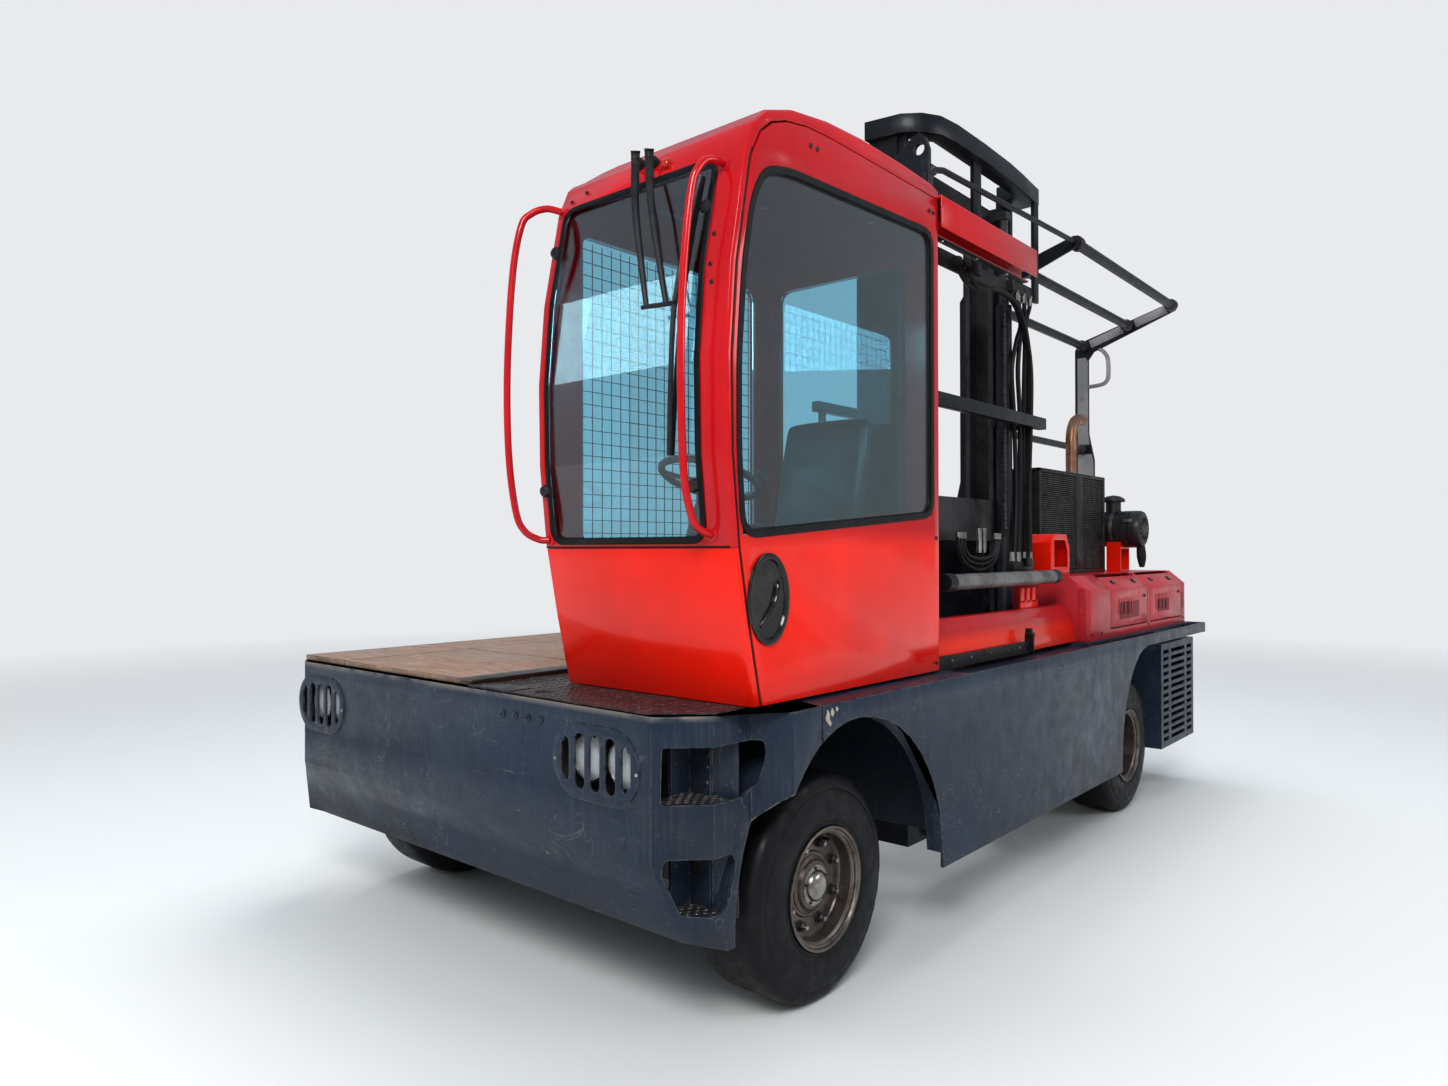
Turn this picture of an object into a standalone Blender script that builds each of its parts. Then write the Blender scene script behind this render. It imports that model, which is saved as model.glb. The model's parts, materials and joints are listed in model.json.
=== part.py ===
# Side loader forklift, metres, +Z up.
# The front of the truck faces -Y, the cab stands at +X, and the load deck and the forks point to -X.
# The origin is on the floor, at the middle of the truck's length and width.

import bpy
import bmesh
from math import atan2, cos, hypot, pi, radians, sin, sqrt
from mathutils import Matrix, Vector

# Overall sizes
WIDTH = 2.64
FRONT_Y = -2.59
REAR_Y = 2.59
DECK_Z = 1.08
SKIRT_Z = 0.341
PLATE = 0.012
GAP = 0.0003
RUNNING = 0.0004
RUN = 0.006

# Wheels
AXLE_Z = 0.40
FRONT_AXLE_Y = -1.875
REAR_AXLE_Y = 1.34
TRACK = 2.09
TYRE_R = 0.40
TYRE_WIDTH = 0.292
RIM_FLANGE_R = 0.216
BEAD_R = 0.196
DISC_T = 0.016
HUB_R = 0.105
SPINDLE_R = 0.032
SPINDLE_END = TRACK / 2 + 0.075
STUB_END = TRACK / 2 - 0.02
STUB_R = 0.045
KINGPIN_INSET = 0.115
KINGPIN_R = 0.024
ROUND = 32

# Mast well and mast
WELL_FRONT_Y = -1.00
WELL_REAR_Y = 0.56
WELL_X = 1.06
MAST_Y = -0.222
MAST_HALF = 0.608
MAST_BACK_X = 0.87
MAST_DEPTH = 0.22
CHANNEL_WEB = 0.022
CHANNEL_FLANGE = 0.024
CHANNEL_WIDTH = 0.115
MAST_FOOT_Z = 0.24
MAST_TOP_Z = 3.50
CROWN_TOP_Z = 3.58
CROWN_T = 0.085
LIFT_X = 0.925
ROLLER_R = (MAST_DEPTH - 4 * CHANNEL_FLANGE - 2 * RUN) / 2 - RUNNING
HOSE_X = 0.985

# Forks
FORK_LENGTH = 1.15
FORK_WIDTH = 0.13
FORK_T = 0.045
FORK_TOP_Z = 1.155
FORK_SPREAD = 0.60
FORK_FACE_X = 0.30

# Cab
CAB_INNER_X = 0.29
CAB_OUTER_X = 1.165
FLOOR_PLATE_T = 0.006
CAB_FLOOR_Z = DECK_Z + FLOOR_PLATE_T + GAP
CAB_REAR_Y = -1.065
CAB_WALL = 0.040
CAB_BELT_Z = 1.60
ROOF_EDGE_Z = 3.035
ROOF_TOP_Z = 3.125
CAB_HEAD_Z = 2.990
TRACK_X = 1.135
TRACK_EDGE_X = 1.178
TRACK_Z = 2.925
TRACK_START_Y = -2.05
TRACK_WALL = 0.006
COVER_LIP_X = 1.222
GLASS_T = 0.008
SEAL = 0.012

# Door
DOOR_X = 1.21
DOOR_T = 0.030
DOOR_REAR_Y = -1.075
DOOR_TRAVEL = 0.98

# Engine bay
COVER_FRONT_Y = 0.63
COVER_REAR_Y = 2.515
COVER_X = 1.205
COVER_TOP_Z = 1.44
COVER_EDGE_Z = 1.355
COVER_INNER_X = 0.46
COVER_T = 0.016
HATCH_GAP = 0.006

# Load guard
GUARD_FRONT_Y = 0.62
GUARD_REAR_Y = 2.47
GUARD_PLATE = 0.014
BAR_R = 0.024

COLOURS = {
    "cab_red": ((0.62, 0.035, 0.012), 0.32, 0.0),
    "crimson": ((0.50, 0.02, 0.03), 0.32, 0.0),
    "chassis_blue": ((0.045, 0.065, 0.10), 0.42, 0.0),
    "mast_black": ((0.018, 0.02, 0.026), 0.45, 0.2),
    "worn_steel": ((0.22, 0.22, 0.22), 0.40, 0.8),
    "rim_grey": ((0.16, 0.14, 0.13), 0.45, 0.5),
    "rubber": ((0.012, 0.012, 0.014), 0.75, 0.0),
    "wood": ((0.33, 0.22, 0.17), 0.80, 0.0),
    "glass": ((0.10, 0.28, 0.30), 0.06, 0.0),
    "amber": ((0.80, 0.28, 0.01), 0.25, 0.0),
    "lamp": ((0.75, 0.76, 0.78), 0.20, 0.1),
    "dark_plastic": ((0.02, 0.02, 0.022), 0.55, 0.0),
    "exhaust": ((0.32, 0.22, 0.14), 0.40, 0.8),
}


def clear_objects():
    for item in list(bpy.data.objects):
        bpy.data.objects.remove(item, do_unlink=True)


def material(key):
    made = bpy.data.materials.get(key)
    if made:
        return made
    colour, roughness, metallic = COLOURS[key]
    made = bpy.data.materials.new(key)
    made.use_nodes = True
    shader = made.node_tree.nodes["Principled BSDF"]
    shader.inputs["Base Color"].default_value = (*colour, 1.0)
    shader.inputs["Roughness"].default_value = roughness
    shader.inputs["Metallic"].default_value = metallic
    return made


def empty(name, place, parent=None):
    pivot = bpy.data.objects.new(name, None)
    bpy.context.scene.collection.objects.link(pivot)
    pivot.parent = parent
    pivot.location = Vector(place)
    if parent:
        pivot.matrix_parent_inverse = Matrix.Identity(4)
        pivot.location = Vector(place) - world_place(parent)
    return pivot


def world_place(item):
    place = Vector((0, 0, 0))
    while item:
        place += item.location
        item = item.parent
    return place


def finish_mesh(bm):
    bmesh.ops.remove_doubles(bm, verts=bm.verts, dist=0.00001)
    bmesh.ops.recalc_face_normals(bm, faces=bm.faces)
    return bm


def place_object(name, bm, colour, pivot=None, smooth=False):
    """Makes the named object, with its origin on its pivot."""
    finish_mesh(bm)
    if pivot:
        bmesh.ops.translate(bm, verts=bm.verts, vec=-world_place(pivot))
    mesh = bpy.data.meshes.new(name)
    bm.to_mesh(mesh)
    bm.free()
    mesh.materials.append(material(colour))
    if smooth:
        mesh.shade_smooth()
        mesh.set_sharp_from_angle(angle=radians(32))
    made = bpy.data.objects.new(name, mesh)
    bpy.context.scene.collection.objects.link(made)
    made.parent = pivot
    return made


def prism(outline, axis, low, high):
    """A closed outline in the two other axes, extruded along one axis."""
    bm = bmesh.new()
    first, second = [index for index in range(3) if index != "XYZ".index(axis)]
    bottom = []
    for point in outline:
        place = [0.0, 0.0, 0.0]
        place[first], place[second] = point
        place["XYZ".index(axis)] = low
        bottom.append(bm.verts.new(place))
    face = bm.faces.new(bottom)
    side = bmesh.ops.extrude_face_region(bm, geom=[face])
    push = Vector((0, 0, 0))
    push["XYZ".index(axis)] = high - low
    bmesh.ops.translate(bm, verts=[v for v in side["geom"] if isinstance(v, bmesh.types.BMVert)], vec=push)
    bmesh.ops.recalc_face_normals(bm, faces=bm.faces)
    return bm


def box(low, high):
    return prism([(low[0], low[1]), (high[0], low[1]), (high[0], high[1]), (low[0], high[1])],
                 "Z", low[2], high[2])


def frame_of(direction):
    """Two unit vectors square to a direction."""
    along = Vector(direction).normalized()
    helper = Vector((0, 0, 1)) if abs(along.z) < 0.9 else Vector((1, 0, 0))
    side = along.cross(helper).normalized()
    return along, side, side.cross(along)


def rod(start, end, radius, sides=16, inner=0.0, phase=0.0):
    """A round bar, or a tube where inner is set, with flat ends."""
    start, end = Vector(start), Vector(end)
    profile = [(0.0, radius), ((end - start).length, radius)]
    if inner:
        profile += [((end - start).length, inner), (0.0, inner)]
    return turned(profile, start, end - start, sides, bool(inner), phase)


def bore(start, end, shaft_radius, sides=16):
    """A cutter for a shaft's hole: its flats face the shaft's corners and clear them by the running gap."""
    return rod(start, end, (shaft_radius + RUNNING) / cos(pi / sides), sides, phase=0.5)


def turned(profile, start, direction, sides=ROUND, closed=False, phase=0.0):
    """A turned solid: profile rows are (distance along the axis, radius)."""
    along, side, up = frame_of(direction)
    start = Vector(start)
    bm = bmesh.new()
    rings = []
    for distance, radius in profile:
        ring = []
        for step in range(sides):
            angle = 2 * pi * (step + phase) / sides
            ring.append(bm.verts.new(start + along * distance
                                     + (side * cos(angle) + up * sin(angle)) * radius))
        rings.append(ring)
    pairs = list(zip(rings, rings[1:] + ([rings[0]] if closed else [])))
    for lower, upper in pairs[:len(rings) if closed else len(rings) - 1]:
        for step in range(sides):
            after = (step + 1) % sides
            bm.faces.new((lower[step], lower[after], upper[after], upper[step]))
    if not closed:
        bm.faces.new(rings[0])
        bm.faces.new(rings[-1])
    bmesh.ops.recalc_face_normals(bm, faces=bm.faces)
    return bm


def pipe(route, radius, sides=12):
    """A round bar bent along a route of points, mitred at each bend."""
    points = [Vector(point) for point in route]
    bm = bmesh.new()
    rings = []
    side = None
    for index, point in enumerate(points):
        before = points[max(index - 1, 0)]
        after = points[min(index + 1, len(points) - 1)]
        along = (after - before).normalized()
        if side is None:
            along, side, up = frame_of(along)
        side = (side - along * side.dot(along)).normalized()
        up = side.cross(along)
        ring = []
        for step in range(sides):
            angle = 2 * pi * step / sides
            ring.append(bm.verts.new(point + (side * cos(angle) + up * sin(angle)) * radius))
        rings.append(ring)
    for lower, upper in zip(rings, rings[1:]):
        for step in range(sides):
            after = (step + 1) % sides
            bm.faces.new((lower[step], lower[after], upper[after], upper[step]))
    bm.faces.new(rings[0])
    bm.faces.new(rings[-1])
    bmesh.ops.recalc_face_normals(bm, faces=bm.faces)
    return bm


def strip(line, thickness):
    """A closed outline of a line of points thickened to its left."""
    points = [Vector(point) for point in line]
    inner = []
    for index, point in enumerate(points):
        before = points[max(index - 1, 0)]
        after = points[min(index + 1, len(points) - 1)]
        one = (point - before).normalized() if index else (after - point).normalized()
        two = (after - point).normalized() if index < len(points) - 1 else one
        bisector = (one + two).normalized()
        normal = Vector((-bisector.y, bisector.x))
        square = Vector((-one.y, one.x))
        inner.append(point + normal * (thickness / max(normal.dot(square), 0.3)))
    return [tuple(point) for point in points] + [tuple(point) for point in reversed(inner)]


def arc(centre, radius_a, radius_b, start, end, steps):
    """Points of an ellipse's arc, angles in degrees."""
    points = []
    for step in range(steps + 1):
        angle = radians(start + (end - start) * step / steps)
        points.append((centre[0] + radius_a * cos(angle), centre[1] + radius_b * sin(angle)))
    return points


def combine(base, others, operation):
    """One closed mesh from a base and others, by the exact Boolean."""
    scene = bpy.context.scene.collection
    meshes = []
    for number, bm in enumerate([base] + list(others)):
        finish_mesh(bm)
        mesh = bpy.data.meshes.new("working_%d" % number)
        bm.to_mesh(mesh)
        bm.free()
        item = bpy.data.objects.new("working_%d" % number, mesh)
        scene.objects.link(item)
        meshes.append(item)
    for other in meshes[1:]:
        change = meshes[0].modifiers.new("change", "BOOLEAN")
        change.operation = operation
        change.solver = "EXACT"
        change.object = other
    graph = bpy.context.evaluated_depsgraph_get()
    graph.update()
    result = bmesh.new()
    result.from_mesh(meshes[0].evaluated_get(graph).to_mesh())
    for item in meshes:
        old = item.data
        bpy.data.objects.remove(item, do_unlink=True)
        bpy.data.meshes.remove(old)
    bmesh.ops.remove_doubles(result, verts=result.verts, dist=0.00002)
    bmesh.ops.dissolve_degenerate(result, edges=result.edges, dist=0.00002)
    return result


def fuse(base, *others):
    return combine(base, others, "UNION")


def cut(base, *others):
    return combine(base, others, "DIFFERENCE")


def skin(columns, thickness):
    """A bent plate: columns of outer points, top to bottom, thickened inwards."""
    bm = bmesh.new()
    grid = [[bm.verts.new(point) for point in column] for column in columns]
    for left, right in zip(grid, grid[1:]):
        for row in range(len(left) - 1):
            bm.faces.new((left[row], left[row + 1], right[row + 1], right[row]))
    bm.normal_update()
    shift = {vert: vert.co - vert.normal * thickness for vert in bm.verts}
    outer_edges = [edge for edge in bm.edges if edge.is_boundary]
    copies = {vert: bm.verts.new(place) for vert, place in shift.items()}
    for face in list(bm.faces):
        bm.faces.new([copies[vert] for vert in reversed(face.verts)])
    for edge in outer_edges:
        loop = edge.link_loops[0]
        one, two = loop.vert, loop.link_loop_next.vert
        bm.faces.new((two, one, copies[one], copies[two]))
    bmesh.ops.recalc_face_normals(bm, faces=bm.faces)
    return bm


# Chassis
HALF = WIDTH / 2
REAR_BEAM_Y = REAR_Y - 0.0595
PLAN_CREASE_1 = (1.037, FRONT_Y)
PLAN_CREASE_2 = (1.175, -2.453)
PLAN_CREASE_3 = (1.185, -2.285)
PLAN_FLARE = (HALF - 0.002, -2.228)
KNEE_Z = 0.62
SWEEP = 0.139
ARCH_R = 0.62
ARCH_FRONT = 0.482
REAR_ARCH_FRONT = 0.483
ARCH_TOP_Z = 1.016
LIP_W = 0.070
FRAME_TOP_Z = DECK_Z - PLATE - GAP
RAIL_X = 0.50
RAIL_W = 0.12
RAIL_LOW_Z = 0.62
MAST_RAIL_Z = 0.56
MAST_RAIL_H = 0.16
LAMP_Z = 0.90
LAMP_HALF = (0.21, 0.126)
LAMP_XS = {"left": -1.064, "right": 0.780}
STEP_BACK_Y = -2.372
# Step openings: foot and head of each
STEP_ROWS = {"upper": (0.765, 0.985), "lower": (0.430, 0.615)}
# Front edge of each tread, x and y, just inside the bent plate
STEP_NOSES = {"upper": [(1.000, -2.583), (1.034, -2.583), (1.168, -2.452)],
              "lower": [(1.000, -2.480), (1.034, -2.479), (1.168, -2.402)]}


def arch_outline(axle_y, front_reach, grow=0.0, start=180, end=0, steps=16):
    """The wheel arch seen from the side: a tight front half and a wider rear half."""
    points = []
    for step in range(steps + 1):
        angle = radians(start + (end - start) * step / steps)
        reach = front_reach if cos(angle) < 0 else ARCH_R
        points.append((axle_y + (reach + grow) * cos(angle), AXLE_Z + (ARCH_TOP_Z - AXLE_Z + grow) * sin(angle)))
    return points


def arch_lip(axle_y, front_reach, low_x, high_x, start=180, end=0, steps=16):
    """The folded edge of a wheel arch."""
    inner = arch_outline(axle_y, front_reach, -0.003, start, end, steps)
    outer = arch_outline(axle_y, front_reach, 0.009, start, end, steps)
    return prism(inner + outer[::-1], "X", low_x, high_x)


def arch_cutter(axle_y, front_reach, low_x, high_x):
    line = arch_outline(axle_y, front_reach)
    return prism([(line[0][0], 0.2)] + line + [(line[-1][0], 0.2)], "X", low_x, high_x)


def stadium(centre, half, steps=4):
    """A slot outline with round ends."""
    radius = min(half)
    long = half[0] - radius
    right = arc((centre[0] + long, centre[1]), radius, radius, -90, 90, steps)
    left = arc((centre[0] - long, centre[1]), radius, radius, 90, 270, steps)
    return right + left


def rounded(low, high, radius, steps=4):
    """A rectangle with round corners."""
    return (arc((high[0] - radius, low[1] + radius), radius, radius, -90, 0, steps)
            + arc((high[0] - radius, high[1] - radius), radius, radius, 0, 90, steps)
            + arc((low[0] + radius, high[1] - radius), radius, radius, 90, 180, steps)
            + arc((low[0] + radius, low[1] + radius), radius, radius, 180, 270, steps))


# Plan of the front plate, from the load side's well round to the flare at the cab side:
# x, y at the top, y at the foot, z of the foot
FRONT_PLAN = [(-HALF, WELL_FRONT_Y - 0.02, WELL_FRONT_Y - 0.02, SKIRT_Z + 0.05),
              (-HALF, -2.47, -2.47, SKIRT_Z + 0.05),
              (-HALF + 0.025, -2.555, -2.53, SKIRT_Z + 0.04),
              (-HALF + 0.10, FRONT_Y, -2.50, SKIRT_Z + 0.03),
              (*PLAN_CREASE_1, FRONT_Y + SWEEP, SKIRT_Z + 0.006),
              (*PLAN_CREASE_2, PLAN_CREASE_2[1] + 0.06, SKIRT_Z),
              (*PLAN_CREASE_3, PLAN_CREASE_3[1] + 0.04, SKIRT_Z),
              (*PLAN_FLARE, PLAN_FLARE[1] + 0.02, SKIRT_Z),
              (PLAN_FLARE[0], PLAN_FLARE[1] + 0.15, PLAN_FLARE[1] + 0.17, SKIRT_Z)]


def front_panel():
    """The bent front plate: flat above the knee, swept back below, with holes for lamps, steps and wheels."""
    columns = []
    for x, top_y, foot_y, foot_z in FRONT_PLAN:
        columns.append([(x, top_y, DECK_Z), (x, top_y, KNEE_Z), (x, foot_y, foot_z)])
    plate = skin(columns, PLATE)
    cutters = [arch_cutter(FRONT_AXLE_Y, ARCH_FRONT, -HALF - 0.05, -HALF + 0.05),
               arch_cutter(FRONT_AXLE_Y, ARCH_FRONT, 1.0, HALF + 0.05)]
    for x in LAMP_XS.values():
        cutters.append(prism(stadium((x, LAMP_Z), LAMP_HALF), "Y", FRONT_Y - 0.05, FRONT_Y + 0.05))
    for low, high in STEP_ROWS.values():
        hole = [(1.060, -2.66), (1.30, -2.44), (1.30, STEP_BACK_Y - 0.012), (1.10, STEP_BACK_Y - 0.012), (1.060, -2.42)]
        cutters.append(prism(hole, "Z", low, high))
    plate = cut(plate, *cutters)
    left_lip = arch_lip(FRONT_AXLE_Y, ARCH_FRONT, -HALF + 0.002, -HALF + LIP_W)
    right_lip = arch_lip(FRONT_AXLE_Y, ARCH_FRONT, 1.105, 1.172, 176, 130, 5)
    return place_object("front_panel", fuse(plate, left_lip, right_lip, *step_pieces()), "chassis_blue")


def step_pieces():
    """The treads of both steps, with the wall behind them and the wall beside them."""
    shapes = [box((1.004, STEP_BACK_Y - 0.012, 0.40), (1.160, STEP_BACK_Y, 1.03)),
              box((0.996, -2.470, 0.40), (1.008, STEP_BACK_Y, 1.03))]
    for name, (low, high) in STEP_ROWS.items():
        nose = STEP_NOSES[name]
        tread = nose + [(1.162, STEP_BACK_Y), (1.000, STEP_BACK_Y)]
        shapes.append(prism(tread, "Z", low - 0.022, low - 0.004))
    return shapes


def side_plate_right():
    """The long plate under the cab and the engine, with both arches and their folded lips."""
    start = PLAN_FLARE[1] + 0.155
    end = REAR_BEAM_Y - GAP
    outline = [(start, DECK_Z), (end, DECK_Z), (end, SKIRT_Z), (start, SKIRT_Z)]
    plate = prism(outline, "X", HALF - PLATE, HALF)
    behind = box((HALF - 0.05, REAR_AXLE_Y, 0.2), (HALF + 0.05, REAR_Y, ARCH_TOP_Z - 0.001))
    plate = cut(plate, arch_cutter(FRONT_AXLE_Y, ARCH_FRONT, HALF - 0.05, HALF + 0.05),
                arch_cutter(REAR_AXLE_Y, REAR_ARCH_FRONT, HALF - 0.05, HALF + 0.05), behind)
    lips = [arch_lip(FRONT_AXLE_Y, ARCH_FRONT, HALF - LIP_W, HALF - 0.002, 105, 0, 12),
            arch_lip(REAR_AXLE_Y, REAR_ARCH_FRONT, HALF - LIP_W, HALF - 0.002, 180, 92, 9)]
    return place_object("side_plate_right", fuse(plate, *lips), "chassis_blue")


def side_plate_left_rear():
    end = REAR_BEAM_Y - GAP
    outline = [(WELL_REAR_Y + 0.02, DECK_Z), (end, DECK_Z), (end, SKIRT_Z + 0.05),
               (WELL_REAR_Y + 0.02, SKIRT_Z + 0.05)]
    plate = prism(outline, "X", -HALF, -HALF + PLATE)
    plate = cut(plate, arch_cutter(REAR_AXLE_Y, REAR_ARCH_FRONT, -HALF - 0.05, -HALF + 0.05))
    lip = arch_lip(REAR_AXLE_Y, REAR_ARCH_FRONT, -HALF + 0.002, -HALF + LIP_W)
    return place_object("side_plate_left_rear", fuse(plate, lip), "chassis_blue")


def chassis_frame():
    """Two rails each side of the mast well, the well's walls and rails, the beam under the cab, and the deck."""
    inset = HALF - PLATE - GAP
    top = FRAME_TOP_Z
    rail = RAIL_W / 2
    shapes = [box((-inset, WELL_FRONT_Y - 0.02, 0.40), (inset, WELL_FRONT_Y, top + 0.002)),
              box((-inset, WELL_REAR_Y, 0.40), (inset, WELL_REAR_Y + 0.02, top + 0.002)),
              box((WELL_X, WELL_FRONT_Y - 0.01, 0.42), (inset - 0.03, WELL_REAR_Y + 0.01, top - 0.01)),
              box((-0.60, FRONT_Y + 0.15, RAIL_LOW_Z), (0.90, FRONT_Y + 0.27, top + 0.002)),
              box((-0.90, REAR_Y - 0.20, RAIL_LOW_Z), (0.90, REAR_Y - 0.09, top + 0.002))]
    for x in (-RAIL_X, RAIL_X):
        shapes.append(box((x - rail, FRONT_Y + 0.20, RAIL_LOW_Z), (x + rail, WELL_FRONT_Y - 0.01, top + 0.002)))
        shapes.append(box((x - rail, WELL_REAR_Y + 0.01, RAIL_LOW_Z), (x + rail, REAR_Y - 0.10, top + 0.002)))
    for low, high in [(WELL_FRONT_Y - 0.002, WELL_FRONT_Y + 0.07), (WELL_REAR_Y - 0.07, WELL_REAR_Y + 0.002)]:
        rail_low = MAST_RAIL_Z
        shapes.append(box((-HALF + 0.04, low, rail_low), (WELL_X + 0.01, high, rail_low + 0.016)))
        shapes.append(box((-HALF + 0.04, low, rail_low + MAST_RAIL_H - 0.016),
                          (WELL_X + 0.01, high, rail_low + MAST_RAIL_H)))
    deck_line = [(-1.210, FRONT_Y + PLATE + 0.006), (PLAN_CREASE_1[0] - 0.008, FRONT_Y + PLATE + 0.006),
                 (PLAN_CREASE_2[0] - PLATE - 0.004, PLAN_CREASE_2[1] + 0.004), (PLAN_CREASE_3[0] - PLATE - 0.004, -2.270),
                 (inset - 0.004, -2.205), (inset - 0.004, WELL_FRONT_Y - 0.001), (-inset, WELL_FRONT_Y - 0.001),
                 (-inset, -2.460), (-1.278, -2.537)]
    shapes.append(prism(deck_line, "Z", top, DECK_Z))
    shapes.append(box((-inset, WELL_REAR_Y + 0.001, top), (COVER_X + 0.03, REAR_BEAM_Y - GAP, DECK_Z)))
    engine_hole = box((RAIL_X + rail + 0.002, COVER_FRONT_Y + 0.30, top - 0.02), (COVER_X - 0.08, REAR_Y - 0.28, DECK_Z + 0.02))
    return place_object("chassis_frame", cut(fuse(*shapes), engine_hole), "chassis_blue")


def decks():
    wood_low = DECK_Z + GAP
    planks = [("front_deck_wood", (-HALF + 0.02, FRONT_Y + 0.04), (0.035, WELL_FRONT_Y - 0.03)),
              ("rear_deck_wood", (-HALF + 0.02, WELL_REAR_Y + 0.03), (COVER_INNER_X - 0.05, REAR_Y - 0.08))]
    for name, low, high in planks:
        outline = rounded(low, high, 0.03, 2)
        place_object(name, prism(outline, "Z", wood_low, wood_low + 0.024), "wood")
    plate_line = [(0.040, FRONT_Y + 0.02), (PLAN_CREASE_1[0] - 0.012, FRONT_Y + 0.02),
                  (PLAN_CREASE_2[0] - 0.03, PLAN_CREASE_2[1] + 0.004), (PLAN_CREASE_2[0] - 0.02, WELL_FRONT_Y - 0.03),
                  (0.040, WELL_FRONT_Y - 0.03)]
    place_object("floor_plate", prism(plate_line, "Z", DECK_Z + GAP, DECK_Z + FLOOR_PLATE_T), "chassis_blue")


def rear_panel():
    inset = HALF - 0.10
    plate = [box((-inset, REAR_Y - 0.082, SKIRT_Z + 0.05), (0.93, REAR_Y - 0.066, DECK_Z - 0.067)),
             box((-HALF, REAR_BEAM_Y, DECK_Z - 0.066), (HALF, REAR_Y, DECK_Z)),
             box((-inset, REAR_Y - 0.080, DECK_Z - 0.10), (0.93, REAR_Y - 0.02, DECK_Z - 0.05))]
    return place_object("rear_panel", fuse(*plate), "chassis_blue")


GRILLE_LOW = (0.96, 1.785, 0.31)
GRILLE_HIGH = (1.26, 2.512, 0.98)
GRILLE_WALL = 0.014
GRILLE_SLOTS = 13
# Columns of slots in the grille: start and end, as shares of its length
GRILLE_COLUMNS = [(0.06, 0.22), (0.29, 0.71), (0.78, 0.94)]


def grille_block():
    """The slotted side guard behind the rear wheel."""
    low, high = GRILLE_LOW, GRILLE_HIGH
    shell = box(low, high)
    hollow = box((low[0] - 0.02, low[1] + GRILLE_WALL, low[2] + GRILLE_WALL),
                 (high[0] - GRILLE_WALL, high[1] - GRILLE_WALL, high[2] - GRILLE_WALL))
    length = high[1] - low[1]
    pitch = (high[2] - low[2] - 0.06) / GRILLE_SLOTS
    slots = []
    for start, end in GRILLE_COLUMNS:
        for row in range(GRILLE_SLOTS):
            z = low[2] + 0.03 + pitch * (row + 0.5)
            slots.append(box((high[0] - 0.03, low[1] + length * start, z - pitch * 0.27),
                             (high[0] + 0.03, low[1] + length * end, z + pitch * 0.27)))
    block = cut(shell, hollow, *slots)
    hanger = box((low[0] + 0.05, low[1] + 0.05, high[2] - 0.002), (high[0] - 0.06, high[1] - 0.05, FRAME_TOP_Z - GAP))
    return place_object("grille_block", fuse(block, hanger), "chassis_blue")


def head_lamps():
    """A slotted oval cover in each hole of the bumper, with its bowl and two round lenses behind."""
    for side, x in LAMP_XS.items():
        half = (LAMP_HALF[0] - 0.001, LAMP_HALF[1] - 0.001)
        cover = prism(stadium((x, LAMP_Z), half), "Y", FRONT_Y + 0.004, FRONT_Y + 0.010)
        slots = []
        slot_half = (0.0175, 0.088)
        for place in range(5):
            slot_x = x + (place - 2) * 0.068
            slots.append(prism(stadium_up((slot_x, LAMP_Z), slot_half), "Y", FRONT_Y - 0.01, FRONT_Y + 0.02))
        cover = cut(cover, *slots)
        bowl = prism(stadium((x, LAMP_Z), half), "Y", FRONT_Y + 0.008, FRONT_Y + 0.115)
        inside = prism(stadium((x, LAMP_Z), (half[0] - 0.01, half[1] - 0.01)), "Y", FRONT_Y, FRONT_Y + 0.105)
        bowl = cut(bowl, inside)
        lenses = []
        for lens in (-1, 1):
            centre = (x + lens * 0.085, FRONT_Y + 0.112, LAMP_Z)
            lenses.append(turned([(0, 0.074), (0.05, 0.074), (0.062, 0.055), (0.068, 0.02)],
                                 centre, (0, -1, 0), 14))
        place_object("head_lamp_" + side, fuse(bowl, cover, *lenses), "lamp")


def stadium_up(centre, half, steps=2):
    turned_over = stadium((centre[1], centre[0]), (half[1], half[0]), steps)
    return [(second, first) for first, second in turned_over]


def front_axle():
    """The steered axle: a box beam with a yoke for each kingpin, under the two rails."""
    pin_x = TRACK / 2 - KINGPIN_INSET
    end_x = pin_x - 0.13
    shapes = [box((-end_x, FRONT_AXLE_Y - 0.07, AXLE_Z - 0.111), (end_x, FRONT_AXLE_Y + 0.07, AXLE_Z + 0.111))]
    for way in (-1, 1):
        x = way * pin_x
        inner_x = way * (end_x - 0.02)
        for low, high in ((AXLE_Z - 0.110, AXLE_Z - 0.074), (AXLE_Z + 0.074, AXLE_Z + 0.110)):
            arm = box((min(x, inner_x), FRONT_AXLE_Y - 0.048, low), (max(x, inner_x), FRONT_AXLE_Y + 0.048, high))
            eye = rod((x, FRONT_AXLE_Y, low), (x, FRONT_AXLE_Y, high), 0.048, 16)
            hole = rod((x, FRONT_AXLE_Y, low - 0.02), (x, FRONT_AXLE_Y, high + 0.02), KINGPIN_R + 0.001, 12)
            shapes.append(cut(fuse(arm, eye), hole))
    for x in (-RAIL_X, RAIL_X):
        shapes.append(box((x - 0.05, FRONT_AXLE_Y - 0.12, AXLE_Z + 0.10),
                          (x + 0.05, FRONT_AXLE_Y + 0.12, RAIL_LOW_Z - GAP)))
    return place_object("front_axle", fuse(*shapes), "mast_black")


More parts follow.
